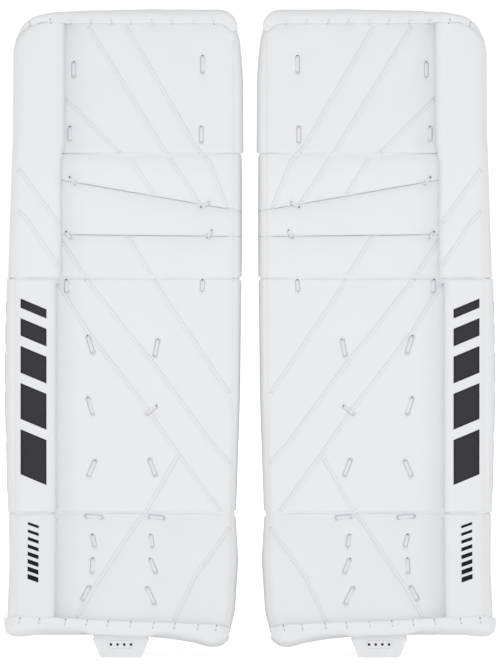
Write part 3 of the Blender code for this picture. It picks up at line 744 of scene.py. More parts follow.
BOOT_FRONT_SLOPE = math.tan(math.radians(13.0))
FRONT_SLOPE = math.tan(math.radians(2.0))
outer_roll("shin_outer_roll", "shin", 0.2330, [(0.0, 0.2915), (0.55, 0.2950), (1.0, 0.2930)],
           lambda y: end_gap(y) + np.maximum(-y, 0.0) * FRONT_SLOPE,
           lambda y: LENGTH["shin"] - end_gap(y) - np.maximum(-y, 0.0) * FRONT_SLOPE, 21)
outer_roll("boot_outer_roll", "boot", 0.2330, [(0.0, 0.2915), (0.5, 0.2893), (1.0, 0.2905)],
           lambda y: boot_floor(0.2915) + 0.0 * y,
           lambda y: -end_gap(y) - np.maximum(-y, 0.0) * BOOT_FRONT_SLOPE, 22, low_tuck=0.0040)

# %% [markdown]
# ### Knee and thigh roll in one
#
# The roll is drawn along one path: up the knee, through the thigh break where the lean begins, and round
# the upper outer corner. Its height station is turned into a place on the knee below the break and on the
# thigh above it, with a short mix between so the leather doesn't kink.

# %% Knee and thigh roll
THIGH_OUTER, THIGH_OUTER_CORNER = 0.2855, 0.037
roll_tall = LENGTH["knee"] + LENGTH["thigh"]
u, v, y, quads = skin_of_box(stations(0.052, 0.0061, 0.0025), stations(roll_tall, CELL, 0.0030),
                             roll_depths())
height = v * roll_tall
over_corner = np.clip(height - (roll_tall - THIGH_OUTER_CORNER), 0.0, THIGH_OUTER_CORNER * 0.985)
corner_pull = THIGH_OUTER_CORNER - np.sqrt(THIGH_OUTER_CORNER ** 2 - over_corner ** 2)
outer_edge = np.interp(height, [0.0, LENGTH["knee"], LENGTH["knee"] + 0.02],
                       [0.2915, 0.2865, 0.2856]) - corner_pull
near, far = roll_shape(y, v, [(0.0, 0.2270), (0.46, 0.2270), (0.52, 0.2230), (1.0, 0.2230)],
                       [(0.0, 0.0), (1.0, 0.0)])
far = far + outer_edge
d = mix(near, far, u)
from_break = height - LENGTH["knee"]
low_end = end_gap(y) + np.maximum(-y, 0.0) * FRONT_SLOPE + rounded(y + ROLL_PROUD, 0.0020, 0.0032)
high_end = 0.0
up_knee = LENGTH["knee"] + from_break + low_end * (1.0 - v) - high_end * v
crown = 0.0012 * np.sin(math.pi * u) ** 0.8 * (1.0 - np.clip((y + ROLL_PROUD) / 0.02, 0.0, 1.0))
on_knee = stand("knee", d, y + 0.0012 - crown, up_knee)
on_thigh = stand("thigh", d, y + 0.0012 - crown, up_knee - LENGTH["knee"])
share = ease(-0.012, 0.012, from_break)[:, None]
upper_roll = piece_from("upper_outer_roll", mix(on_knee, on_thigh, share), quads)
edge = np.minimum(np.minimum(v, 1.0 - v) * roll_tall, np.minimum(u, 1.0 - u) * 0.05)
held = np.where(u == 1.0, 0.35, np.where(y > -ROLL_PROUD, 1.0, 1.0 - ease(0.002, 0.012, edge)))
stuff(upper_roll, held, 0.0020)
subdivide(upper_roll, 2)
sew(upper_roll, 23, waves=0.00030)
fold = BREAKS["thigh"]
settle(upper_roll, WHITE_LEATHER, bend=("knee", "thigh", (0.26, fold.y, fold.z - 0.022),
                                        (0.26, fold.y, fold.z + 0.022)),
       stands_for=["knee_outer_roll", "thigh_outer_roll"])
print("outer rolls made")

# %% [markdown]
# ## Bindings
#
# The top of the thigh and the bottom of the boot are closed by a folded band of smooth leather round a cord
# of foam. The top band follows the panel's edge round both corners. Its path is written as a turning centre
# and an angle for each share of the way, so the band keeps its width through the corners. The bottom band
# is a fat bar, slimmer over the toe tab.

# %% Top binding
TOP_REACH, BINDING_FRONT, BINDING_BACK = 0.0170, -0.0168, 0.0500
TOP = LENGTH["thigh"]


def top_path(t, reach):
    """A point of the top band: t is the share of the way from the inner corner to the outer one."""
    marks = [0.0, 0.085, 0.87, 1.0]
    angle = np.interp(t, marks, np.radians([136.0, 90.0, 90.0, 20.0]))
    radius = np.interp(t, marks, [THIGH_CORNER, THIGH_CORNER, THIGH_OUTER_CORNER, THIGH_OUTER_CORNER])
    centre = np.interp(t, marks, [0.0080 + THIGH_CORNER, 0.0080 + THIGH_CORNER,
                                  THIGH_OUTER - THIGH_OUTER_CORNER, THIGH_OUTER - THIGH_OUTER_CORNER])
    return centre + (radius + reach) * np.cos(angle), TOP - radius + (radius + reach) * np.sin(angle)


depths = np.concatenate([[0.0, 0.0015, 0.0045, 0.0090, 0.0140], np.arange(0.020, 0.047, 0.006),
                         [0.0510, 0.0560, 0.0600, 0.0620]]) + BINDING_FRONT
t, v, y, quads = skin_of_box(stations(0.31, 0.0052, 0.003), np.linspace(0.0, 1.0, 5), depths)
outer_reach = (TOP_REACH - rounded(y - BINDING_FRONT, 0.0085, 0.0130)
               - rounded(BINDING_BACK - y, 0.0080, 0.0110))
end_taper = np.interp(t, [0.0, 0.015, 0.035, 0.06, 0.085, 0.49, 0.60, 0.72, 0.80, 0.835, 0.87, 0.912, 0.936,
                          0.955,
                          0.975, 1.0],
                      [0.0, 0.28, 0.60, 0.86, 1.0, 1.0, 0.95, 0.88, 0.77, 0.68, 0.56, 0.40, 0.34, 0.22, 0.10,
                       0.0])
lip = -0.0022 - 0.0045 * (1.0 - ease(0.03, 0.10, t)) - 0.0020 * ease(0.86, 0.93, t)
d, z = top_path(t, mix(lip, mix(0.0010, outer_reach, end_taper), v))
over_roll = ease(0.205, 0.236, d)
front_here = mix(-0.0062, BINDING_FRONT, over_roll)
deep = mix(front_here, BINDING_BACK, (y - BINDING_FRONT) / (BINDING_BACK - BINDING_FRONT))
full = np.where(t < 0.5, end_taper, 1.0 - ease(0.875, 0.955, t))
tucked = (deep - 0.019) * mix(mix(0.80, 0.62, over_roll), 1.0, full) + 0.019
top_binding = piece_from("top_binding", stand("thigh", d, tucked, z), quads)
stuff(top_binding, np.where(v > 0.2, 0.0, 1.0), 0.0012)
subdivide(top_binding, 1)
move_points(top_binding, points_of(top_binding) - normals_of(top_binding)
            * (ripple(points_of(top_binding)[:, [0, 2]], 31, 0.0005, 0.05, 0.012) + 0.0006)[:, None])
settle(top_binding, BINDING_LEATHER, body="thigh", stands_for=["top_binding"])

# %% Bottom binding
LOW_FRONT, LOW_BACK = -0.0160, 0.0520
LOW_INNER, LOW_OUTER, LOW_ACROSS, FLOOR_END = 0.0245, 0.2950, 0.2705, 0.2915
TAB_CENTRE = 0.155
depths = np.concatenate([[0.0, 0.0015, 0.0045, 0.0090, 0.0150], np.arange(0.022, 0.052, 0.006),
                         [0.0560, 0.0620, 0.0660, 0.0680]]) + LOW_FRONT
u, v, y, quads = skin_of_box(stations(LOW_ACROSS, 0.0055, 0.002), np.linspace(0.0, 1.0, 5), depths)
d = mix(LOW_INNER, LOW_OUTER, u)
REACH_AT = [24.5, 30, 38, 47, 58, 72, 94, 108, 122, 188, 200, 208, 255, 275, 286, 292, 295]
REACH_MM = [11.5, 17, 20.5, 21.3, 18.6, 15.0, 13.0, 12.2, 11.6, 11.6, 12.0, 12.4, 14.6, 17, 19, 17, 13]
reach_here = 0.001 * np.interp(d * 1000, REACH_AT, REACH_MM)
front_lip = 0.0046 * ease(0.108, 0.122, d) * ease(-0.205, -0.190, -d) * (1.0 - ease(0.002, 0.010, y))
round_off = rounded(y - LOW_FRONT, 0.0080, 0.0120) + rounded(LOW_BACK - y, 0.0080, 0.0120)
slim = ease(0.0, 0.012, np.minimum(d - LOW_INNER, LOW_OUTER - d))
floor_here = boot_floor(np.minimum(d, FLOOR_END))
overlap = 0.0024 * (1.0 - ease(-0.0085, -0.0035, y)) * ease(0.028, 0.040, d) * ease(-0.288, -0.276, -d)
roof = floor_here - 0.0002 + overlap - round_off * 0.22 * (1.0 - ease(0.0, 0.5, v))
low = floor_here - reach_here - front_lip + round_off * 0.85
z = mix(np.maximum(roof, low + 0.001), low, v)
over_roll = ease(0.215, 0.238, d)
deep = mix(mix(-0.0085, LOW_FRONT, over_roll), LOW_BACK, (y - LOW_FRONT) / (LOW_BACK - LOW_FRONT))
deep = mix(0.018, deep, mix(0.72, 1.0, slim))
bottom_binding = piece_from("bottom_binding", stand("boot", d, deep, z), quads)
stuff(bottom_binding, np.where(v < 0.1, 1.0, 0.0), 0.0014)
subdivide(bottom_binding, 1)
move_points(bottom_binding, points_of(bottom_binding) - normals_of(bottom_binding)
            * (ripple(points_of(bottom_binding)[:, [0, 2]], 37, 0.0004, 0.06, 0.015) + 0.0005)[:, None])
settle(bottom_binding, BINDING_LEATHER, body="boot", stands_for=["bottom_binding"])
print("bindings made")

# %% [markdown]
# ## Gussets in the breaks
#
# Where the face bends, the sections of a real pad are joined by a tuck of leather that folds inwards.

# %% Gussets
def surface_behind(d, inner, valley, outer, over_roll):
    """How deep the front lies across the pad: rolled inner edge, flat face, valley, then the proud roll."""
    at = [inner, inner + 0.001, inner + 0.003, inner + 0.0065, inner + 0.0115, 0.050, 0.080, 0.130, 0.180,
          valley - 0.030, valley - 0.020, valley - 0.010, valley - 0.0008]
    deep = [0.0152, 0.0095, 0.0058, 0.0026, 0.0007, 0.0002, -0.0004, -0.0010, -0.0002, 0.0002, 0.0014,
            0.0037, 0.0054]
    if over_roll:
        at += [valley + 0.0010, valley + 0.0032, valley + 0.0072, outer - 0.0125, outer - 0.0050,
               outer - 0.0008, outer]
        deep += [-0.0060, -0.0110, -0.0138, -0.0138, -0.0112, -0.0030, 0.0020]
    return np.interp(d, at, deep)


def gusset(name, below, above, edges, over_roll=True, sunk=0.0009):
    """A wedge of leather in the break between two sections, sunk a little behind their front."""
    inner, valley, outer = edges
    u, v, w, quads = skin_of_box(stations(outer - inner, 0.0045, 0.001), np.linspace(0.0, 1.0, 7),
                                 np.linspace(0.0, 1.0, 8))
    tuck = 0.0010 * np.sin(math.pi * v)
    d = mix(inner + 0.0014 + tuck, outer - 0.0006 - tuck, u)
    front = surface_behind(d, inner, valley, outer, over_roll) + sunk + tuck
    y = mix(front, FACE_DEPTH - 0.003 - tuck, w)
    lower = stand(below, d, y, (0.0 if below == "boot" else LENGTH[below]) - end_gap(y) - 0.006)
    upper = stand(above, d, y, end_gap(y) + 0.006)
    made = piece_from(name, mix(lower, upper, v[:, None]), quads)
    subdivide(made, 1)
    fold = BREAKS[above if above != "shin" else "boot"]
    behind = 0.005 if below == "boot" else 0.0
    return settle(made, WHITE_LEATHER, bend=(below, above, (0.15, fold.y, fold.z - 0.010 - behind),
                                             (0.15, fold.y, fold.z + 0.010)))


gusset("boot_break_gusset", "boot", "shin", (0.0168, 0.2328, 0.2905))
gusset("knee_break_gusset", "shin", "knee", (0.0103, 0.2300, 0.2910))
gusset("thigh_break_gusset", "knee", "thigh", (0.0090, 0.2240, 0.2275), over_roll=False)
print("gussets made")

# %% [markdown]
# ## Toe tab
#
# The tab is firm leather and its shape in the imported model is right, so it keeps its node and gets a
# finish. A short neck joins it to the bottom band. A strip of webbing is sewn behind the four lace holes.

# %% Neck and backing of the toe tab
tab_hinge = Vector(JOINTS["left_toe_tab_flex"]["pos_m"])
u, v, w, quads = skin_of_box(np.linspace(0, 1, 13), np.linspace(0, 1, 7), [0.0, 0.5, 1.0])
d = TAB_CENTRE + (u - 0.5) * 0.0660
neck = piece_from("toe_tab_neck", np.stack([d, tab_hinge.y + (w - 0.5) * 0.0034,
                                            tab_hinge.z - 0.0030 + v * 0.0110], -1),
                  quads)
settle(neck, BINDING_LEATHER, bend=("toe_tab", "boot", (TAB_CENTRE, tab_hinge.y, tab_hinge.z - 0.001),
                                    (TAB_CENTRE, tab_hinge.y, tab_hinge.z + 0.003)))

HOLE_LEVEL = tab_hinge.z - 0.023 + 0.0160
turn = np.linspace(0.0, 2 * math.pi, 33)[:-1]
half_width, half_height = 0.0160, 0.0046


def capsule(scale_out):
    """The outline of the stitched window round the lace holes, grown by a distance."""
    across = np.cos(turn) * (half_height + scale_out) + np.sign(np.cos(turn)) * (half_width - half_height)
    return TAB_CENTRE + across, HOLE_LEVEL + np.sin(turn) * (half_height + scale_out)


rings = []
for y_offset, grow in ((0.0021, 0.0022), (0.0030, 0.0020), (0.0030, -0.0040)):
    ring_d, ring_z = capsule(grow)
    rings.append(np.stack([ring_d, np.full(32, tab_hinge.y + y_offset), ring_z], -1))
faces = [[r * 32 + i, r * 32 + (i + 1) % 32, (r + 1) * 32 + (i + 1) % 32, (r + 1) * 32 + i]
         for r in range(2) for i in range(32)]
faces += [list(range(64, 96)), list(range(32))[::-1]]
backing = piece_from("toe_tab_backing", np.concatenate(rings), faces)
settle(backing, WEBBING, body="toe_tab")
print("toe tab dressed")

# %% [markdown]
# ## Behind the face
#
# None of this shows from the front. Dark lined pads hold the calf, knee and foot, a white block carries the
# knee on the ice, and two white wings close round the leg. Each is a block with all its edges rounded,
# quilted by a few channels that are pressed in after the stuffing.

# %% Pads behind the face
def soft_block(name, section, spans, ends, finish, node, round_over=0.0045, channels=(), body=None,
               cell=0.0108,
               puff=0.0022, seed=41, levels=2):
    """A padded block: spans are (d, d, y, y), ends its heights by depth, channels (axis, place) grooves."""
    d0, d1, y0, y1 = spans
    low, high = ends
    tall = float(np.mean(high(np.array([y0])) - low(np.array([y0]))))
    deep = y1 - y0
    steps = np.concatenate([[0.0, 0.0010, 0.0035],
                            np.linspace(0.007, deep - 0.007, max(2, round(deep / cell))),
                            [deep - 0.0035, deep - 0.0010, deep]]) if deep > 0.016 else np.linspace(0.0,
                                    deep, 7)
    u, v, y, quads = skin_of_box(stations(d1 - d0, cell, 0.0022), stations(tall, cell, 0.0022), steps + y0)
    pull = rounded(y - y0, round_over, min(round_over, deep / 2)) + rounded(y1 - y, round_over,
            min(round_over, deep / 2))
    d = mix(d0 + pull, d1 - pull, u)
    z = mix(low(y) + pull, high(y) - pull, v)
    block = piece_from(name, stand(section, d, y, z), quads)
    edge = np.minimum(np.minimum(v, 1.0 - v) * tall, np.minimum(u, 1.0 - u) * (d1 - d0))
    stuff(block, 1.0 - ease(0.001, 0.014, edge) * 0.9, puff)
    subdivide(block, levels)
    points, normals = points_of(block), normals_of(block)
    down = ripple(points[:, [0, 2]] + points[:, [1]], seed, 0.0004)
    # shade here is painted shade along the channels, which the white leather's colour takes.
    shade = np.zeros(len(points))
    for axis, place in channels:
        off = np.abs(points[:, axis] - place)
        down += 0.0016 * bell(off, 0.0022) + 0.0008 * bell(off, 0.009)
        shade = np.maximum(shade, bell(off, 0.0016))
    move_points(block, points - normals * down[:, None])
    block.data.attributes.new("seam_shade", "FLOAT", "POINT").data.foreach_set("value",
            shade.astype(np.float32))
    return settle(block, finish, body=body or section, stands_for=node)


MARGIN, SKIN = 0.011, FACE_DEPTH + 0.0006
SHIN_ENDS = (lambda y: end_gap(y) + MARGIN, lambda y: LENGTH["shin"] - end_gap(y) - MARGIN)
KNEE_ENDS = (lambda y: end_gap(y) + MARGIN, lambda y: LENGTH["knee"] - end_gap(y) - MARGIN)
BOOT_ENDS = (lambda y: -0.114 + 0.0 * y, lambda y: -end_gap(y) - 0.012)
THIGH_ENDS = (lambda y: end_gap(y) + MARGIN, lambda y: TOP - 0.016 + 0.0 * y)
rows = [(0, place) for place in (0.098, 0.140, 0.182)]
soft_block("calf_liner", "shin", (0.0562, 0.2220, SKIN, 0.0612), SHIN_ENDS, LINING, ["calf_channel"],
           channels=rows)
soft_block("calf_wall", "shin", (0.0252, 0.0558, SKIN, 0.1498), SHIN_ENDS, LINING, ["calf_channel"],
           channels=[(1, FACE_PLANE + 0.083), (1, FACE_PLANE + 0.117)], seed=43)
soft_block("knee_cradle", "knee", (0.0738, 0.2216, SKIN, 0.0612), KNEE_ENDS, LINING, ["knee_cradle"],
           channels=rows, seed=44)
soft_block("knee_block", "knee", (0.0252, 0.0728, SKIN, 0.1656), KNEE_ENDS, WHITE_LEATHER, ["knee_block"],
           channels=[(1, FACE_PLANE + 0.088), (1, FACE_PLANE + 0.127)], seed=45)
soft_block("knee_landing", "knee", (0.0152, 0.0244, SKIN, 0.1600), KNEE_ENDS, LANDING_CLOTH, ["knee_landing"],
           round_over=0.0030, puff=0.0010, seed=46)
soft_block("thigh_liner", "thigh", (0.0242, 0.2222, SKIN, 0.0562), THIGH_ENDS, LINING, ["thigh_liner"],
           round_over=0.0030, channels=[(0, 0.074), (0, 0.124), (0, 0.174)], seed=47)
soft_block("boot_liner", "boot", (0.0470, 0.2370, SKIN + 0.0022, 0.0612), BOOT_ENDS, LINING, ["boot_channel"],
           round_over=0.0030, channels=[(0, 0.094), (0, 0.142), (0, 0.190)], seed=48)
soft_block("boot_inner_wall", "boot", (0.0262, 0.0478, SKIN, 0.1198), BOOT_ENDS, LINING, ["boot_channel"],
           seed=49)
soft_block("boot_outer_wall", "boot", (0.2362, 0.2578, SKIN + 0.0020, 0.1198), BOOT_ENDS, LINING,
           ["boot_channel"],
           seed=50)
print("lined pads made")

# %% [markdown]
# ### Wings
#
# A wing is a soft plate bent round the leg. It is drawn as a ribbon along a path in plan: u runs along the
# path and w through its thickness. The path's corners are cut twice (Chaikin's way), which turns a few
# points into a smooth bend that stays inside them.

# %% A ribbon along a path
CALF_WING_PATH = [(0.2610, 0.0570), (0.2690, 0.0850), (0.2660, 0.1180), (0.2520, 0.1450), (0.2290, 0.1610),
                  (0.2000, 0.1680), (0.1560, 0.1680)]
KNEE_WING_PATH = [(0.2610, 0.0570), (0.2690, 0.0850), (0.2660, 0.1160), (0.2530, 0.1440), (0.2290, 0.1610),
                  (0.2020, 0.1680), (0.1780, 0.1680)]


def cut_corners(path, times=2):
    line = np.array(path, float)
    for _ in range(times):
        quarter = line[:-1] * 0.75 + line[1:] * 0.25
        three = line[:-1] * 0.25 + line[1:] * 0.75
        middle = np.stack([quarter, three], axis=1).reshape(-1, 2)
        line = np.concatenate([line[:1], middle, line[-1:]])
    return line


def on_path(path, share, across):
    """Points at a share of the path's length, moved across it, to the left of its direction."""
    line = cut_corners(path)
    gone = np.concatenate([[0.0], np.cumsum(np.linalg.norm(np.diff(line, axis=0), axis=1))])
    at = np.asarray(share) * gone[-1]
    step = 0.002
    here = np.stack([np.interp(at, gone, line[:, k]) for k in (0, 1)], -1)
    ahead = np.stack([np.interp(np.minimum(at + step, gone[-1]), gone, line[:, k]) for k in (0, 1)], -1)
    behind = np.stack([np.interp(np.maximum(at - step, 0.0), gone, line[:, k]) for k in (0, 1)], -1)
    way = ahead - behind
    way /= np.linalg.norm(way, axis=1, keepdims=True)
    return here + np.stack([-way[:, 1], way[:, 0]], -1) * np.asarray(across)[:, None], gone[-1]


def wing(name, section, path, seams_at, seed):
    thick, round_over = 0.0090, 0.0040
    length = on_path(path, np.array([0.0]), np.array([0.0]))[1]
    tall = LENGTH[section] - 2 * MARGIN
    u, v, w, quads = skin_of_box(stations(length, 0.0105, 0.0025), stations(tall, 0.0112, 0.0025),
                                 np.linspace(-0.5, 0.5, 5))
    pull = rounded(np.abs(0.5 - np.abs(w)) * thick, round_over * 0.8, thick / 2)
    share = mix(0.0035 + pull, length - pull, u) / length
    flat, _ = on_path(path, share, w * thick)
    room = end_gap(flat[:, 1]) + MARGIN + pull
    z = mix(room, LENGTH[section] - room, v)
    made = piece_from(name, stand(section, flat[:, 0], flat[:, 1], z), quads)
    edge = np.minimum(np.minimum(v, 1.0 - v) * tall, np.minimum(u, 1.0 - u) * length)
    held = 1.0 - ease(0.001, 0.014, edge) * 0.85
    for seam_share in seams_at:
        held = np.maximum(held, bell((u - seam_share) * length, 0.006))
    stuff(made, held, 0.0018)
    subdivide(made, 2)
    points, normals = points_of(made), normals_of(made)
    line = np.array([on_path(path, np.array([s]), np.array([0.0]))[0][0] for s in seams_at]) + [0.0,
            FACE_PLANE]
    # shade here is painted shade along the wing's seams, which the leather's colour takes.
    down, shade = ripple(points[:, [1, 2]], seed, 0.0004), np.zeros(len(points))
    for at in line:
        off = np.linalg.norm(points[:, [0, 1]] - at, axis=1) - thick / 2
        down += 0.0012 * bell(off, 0.0020) + 0.0006 * bell(off, 0.008)
        shade = np.maximum(shade, bell(off, 0.0016))
    move_points(made, points - normals * down[:, None])
    made.data.attributes.new("seam_shade", "FLOAT", "POINT").data.foreach_set("value",
            shade.astype(np.float32))
    return settle(made, WHITE_LEATHER, body=name, stands_for=[name])


wing("calf_wing", "shin", CALF_WING_PATH, (0.30, 0.52, 0.74), 61)
wing("knee_wing", "knee", KNEE_WING_PATH, (0.32, 0.56, 0.80), 62)
print("wings made")

# %% [markdown]
# ### Straps
#
# Webbing doesn't stuff, so the straps are modelled directly: a thin ribbon along the path that the packed
# strap takes, over the wing and across to its seat. Each has a square of moulded hook tape sewn at its free
# end.

# %% Straps
WING_THICK, STRAP_THICK, LOOSE = 0.0090, 0.0030, 0.0004


def moved_path(path, distance):
    """A path moved sideways with mitred corners, to the left of its direction."""
    line, moved = [Vector(point) for point in path], []
    for i, here in enumerate(line):
        before = here - line[i - 1] if i else line[1] - here
        after = line[i + 1] - here if i + 1 < len(line) else before
        direction = (before.normalized() + after.normalized()).normalized()
        normal = Vector((-direction.y, direction.x))
        longer = max(0.5, normal.dot(Vector((-after.y, after.x)).normalized()))
        moved.append(tuple(here + normal * distance / longer))
    return moved


def strap_path(wing_path, seat_back, seat):
    reach = (WING_THICK + STRAP_THICK) / 2 + 2 * LOOSE
    over = moved_path(wing_path[1:], -reach)[2:]
    rest = seat_back + STRAP_THICK / 2 + 2 * LOOSE
    start, end = Vector(over[-1]), Vector((seat[1], rest))
    bridge = start.lerp(end, 0.5) + Vector((0.0, 0.2 * (start.y - end.y)))
    return over + [tuple(bridge), (seat[1], rest), (seat[0], rest)]


def ribbon(name, section, path, centre, width, thick, finish, body, node=None, part=(0.0, 1.0), off=0.0):
    length = on_path(path, np.array([0.0]), np.array([0.0]))[1]
    run = (part[1] - part[0]) * length
    u, v, w, quads = skin_of_box(stations(run, 0.005, 0.001), [0.0, 0.03, 0.25, 0.5, 0.75, 0.97, 1.0],
                                 [-0.5, 0.0, 0.5])
    thin = np.where((v == 0.0) | (v == 1.0) | (u == 0.0) | (u == 1.0), 0.7, 1.0)
    flat, _ = on_path(path, mix(part[0], part[1], u), w * thick * thin + off)
    z = centre + (v - 0.5) * width
    made = piece_from(name, stand(section, flat[:, 0], flat[:, 1], z), quads)
    return settle(made, finish, body=body, stands_for=[node] if node else ())


STRAPS = [
    ("upper_calf_strap", "shin", strap_path(CALF_WING_PATH, 0.150, (0.031, 0.056)), 0.190, 0.038),
    ("lower_calf_strap", "shin", strap_path(CALF_WING_PATH, 0.150, (0.031, 0.056)), 0.090, 0.038),
    ("knee_strap", "knee", strap_path(KNEE_WING_PATH, 0.166, (0.031, 0.073)), 0.074, 0.050),
]
boot_seat = 0.120 + STRAP_THICK / 2 + 2 * LOOSE
boot_line = [(mix(0.252, 0.032, i / 6), boot_seat + 0.012 * math.sin(math.pi * i / 6)) for i in range(7)]
boot_line.insert(1, (0.236, boot_seat))
boot_line.insert(-1, (0.048, boot_seat))
STRAPS.append(("boot_strap", "boot", boot_line, -0.060, 0.032))
for name, section, path, centre, width in STRAPS:
    ribbon(name, section, path, centre, width, STRAP_THICK - 0.0002, WEBBING, name, name)
    ribbon(name + "_hook_tape", section, path, centre, width - 0.006, 0.0014, HOOK_TAPE, name,
           part=(0.80, 0.975),
           off=-STRAP_THICK / 2 - 0.0006)
print("straps made", len(STRAPS))

# %% [markdown]
# ## Stitches
#
# Every seam but the two long edges gets one row of topstitching, on one side of it. A ray is sent straight
# back at each point of that row's line, and where it meets the leather the stitch line runs. Geometry Nodes
# then lay one small thread on the line at each step: the tree turns the line to a curve, takes even points on
# it, and turns an instance along the curve and out from the leather. Real stitches are 3 mm long with a 0.8
# mm thread, so these are the real size.

# %% Find the leather in front
front_names = ("shin_cover", "boot_cover", "thigh_cover", "knee_roll_lower", "knee_roll_middle",
               "knee_roll_upper",
               "shin_outer_roll", "boot_outer_roll", "upper_outer_roll", "top_binding", "bottom_binding")
owners, corners, polygons = [], [], []
for name in front_names:
    piece = finished[name]
    start = len(corners)
    corners += [tuple(point) for point in points_of(piece)]
    polygons += [tuple(start + index for index in face.vertices) for face in piece.data.polygons]
    owners += [name] * len(piece.data.polygons)
leather_in_front = BVHTree.FromPolygons(corners, polygons)
BODY_OF = {"shin_cover": "shin", "boot_cover": "boot", "thigh_cover": "thigh", "knee_roll_lower": "knee",
           "knee_roll_middle": "knee", "knee_roll_upper": "knee", "shin_outer_roll": "shin",
           "boot_outer_roll": "boot", "upper_outer_roll": "roll", "top_binding": "thigh",
           "bottom_binding": "boot"}


def meet(origin, way):
    """Where a ray meets the leather: place, normal and the piece, or None."""
    place, normal, index, _ = leather_in_front.ray_cast(Vector(origin), Vector(way))
    return None if place is None else (place, normal, owners[index])


def lay_line(line, offset, step=0.001):
    """Runs of (body, place, normal) along a pattern line moved sideways, cut where it leaves a piece."""
    corners = [Vector(corner) * METRES for corner in line]
    runs, run = [], []
    for a, b in zip(corners, corners[1:]):
        way = (b - a).normalized()
        across = Vector((-way.y, way.x)) * offset
        for i in range(max(1, round((b - a).length / step))):
            flat = a + way * step * i + across
            found = meet((flat.x, -0.5, flat.y), (0.0, 1.0, 0.0))
            good = found and -found[1].y > 0.45
            if run and (not good or found[2] != run[-1][2] or (found[0] - run[-1][0]).length > 0.004):
                runs.append(run)
                run = []
            if good:
                run.append(found)
    return [r for r in runs + [run] if len(r) > 5]


print("leather faces to hit", len(polygons))

# %% A stitching tree
def new_tree(name, sockets):
    """A Geometry Nodes group; returns the tree, its input node, and each named input's identifier."""
    tree = bpy.data.node_groups.new(name, "GeometryNodeTree")
    tree.interface.new_socket("Geometry", in_out="INPUT", socket_type="NodeSocketGeometry")
    tree.interface.new_socket("Geometry", in_out="OUTPUT", socket_type="NodeSocketGeometry")
    identifiers = {}
    for label, kind in sockets:
        item = tree.interface.new_socket(label, in_out="INPUT", socket_type=f"NodeSocket{kind}")
        identifiers[label] = item.identifier
    return tree, add(tree, "NodeGroupInput"), identifiers


def named(tree, attribute, kind="FLOAT_VECTOR"):
    return add(tree, "GeometryNodeInputNamedAttribute", {"data_type": kind},
               {"Name": attribute}).outputs["Attribute"]


def close_tree(tree, given, instances):
    """Every tree ends the same way: real meshes, with their material."""
    real = add(tree, "GeometryNodeRealizeInstances", None, {0: instances})
    painted = add(tree, "GeometryNodeSetMaterial", None,
                  {0: real.outputs[0], "Material": given.outputs["Material"]})
    add(tree, "NodeGroupOutput", None, {0: painted.outputs[0]})


stitching, given, stitch_inputs = new_tree("topstitching", [
    ("Pitch", "Float"), ("Stitch length", "Float"), ("Thread width", "Float"), ("Seed", "Int"),
    ("Material", "Material")])
curve = add(stitching, "GeometryNodeMeshToCurve", None, {0: given.outputs["Geometry"]})
spots = add(stitching, "GeometryNodeCurveToPoints", {"mode": "LENGTH"},
            {0: curve.outputs[0], "Length": given.outputs["Pitch"]})
ball = add(stitching, "GeometryNodeMeshUVSphere", None, {"Segments": 6, "Rings": 4, "Radius": 0.5})
size = add(stitching, "ShaderNodeCombineXYZ", None,
           {0: given.outputs["Stitch length"], 1: given.outputs["Thread width"],
            2: given.outputs["Thread width"]})
thread = add(stitching, "GeometryNodeTransform", None, {0: ball.outputs[0], "Scale": size.outputs[0]})
along = add(stitching, "FunctionNodeAlignRotationToVector", {"axis": "X"},
            {"Vector": spots.outputs["Tangent"]})
turned = add(stitching, "FunctionNodeAlignRotationToVector", {"axis": "Z", "pivot_axis": "X"},
             {"Rotation": along.outputs[0], "Vector": named(stitching, "lay")})
wobble = add(stitching, "FunctionNodeRandomValue", {"data_type": "FLOAT"},
             {2: 0.88, 3: 1.08, "Seed": given.outputs["Seed"]})
laid = add(stitching, "GeometryNodeInstanceOnPoints", None,
           {0: spots.outputs[0], "Instance": thread.outputs[0], "Rotation": turned.outputs[0],
            "Scale": wobble.outputs[1]})
close_tree(stitching, given, laid.outputs[0])


def grow(name, places, edges, vectors, tree, identifiers, values):
    """Runs a tree on loose points or edges with vector attributes, and gives back the plain mesh it makes."""
    mesh = bpy.data.meshes.new(name)
    mesh.from_pydata([tuple(place) for place in places], edges, [])
    for label, rows in vectors.items():
        kept = mesh.attributes.new(label, "FLOAT_VECTOR", "POINT")
        kept.data.foreach_set("vector", np.asarray(rows, np.float32).ravel())
    made = bpy.data.objects.new(name, mesh)
    bpy.context.scene.collection.objects.link(made)
    nodes = made.modifiers.new(tree.name, "NODES")
    for label, value in values.items():
        nodes[identifiers[label]] = value
    nodes.node_group = tree
    for label, value in values.items():
        nodes[identifiers[label]] = value
    keep_shape(made)
    return made


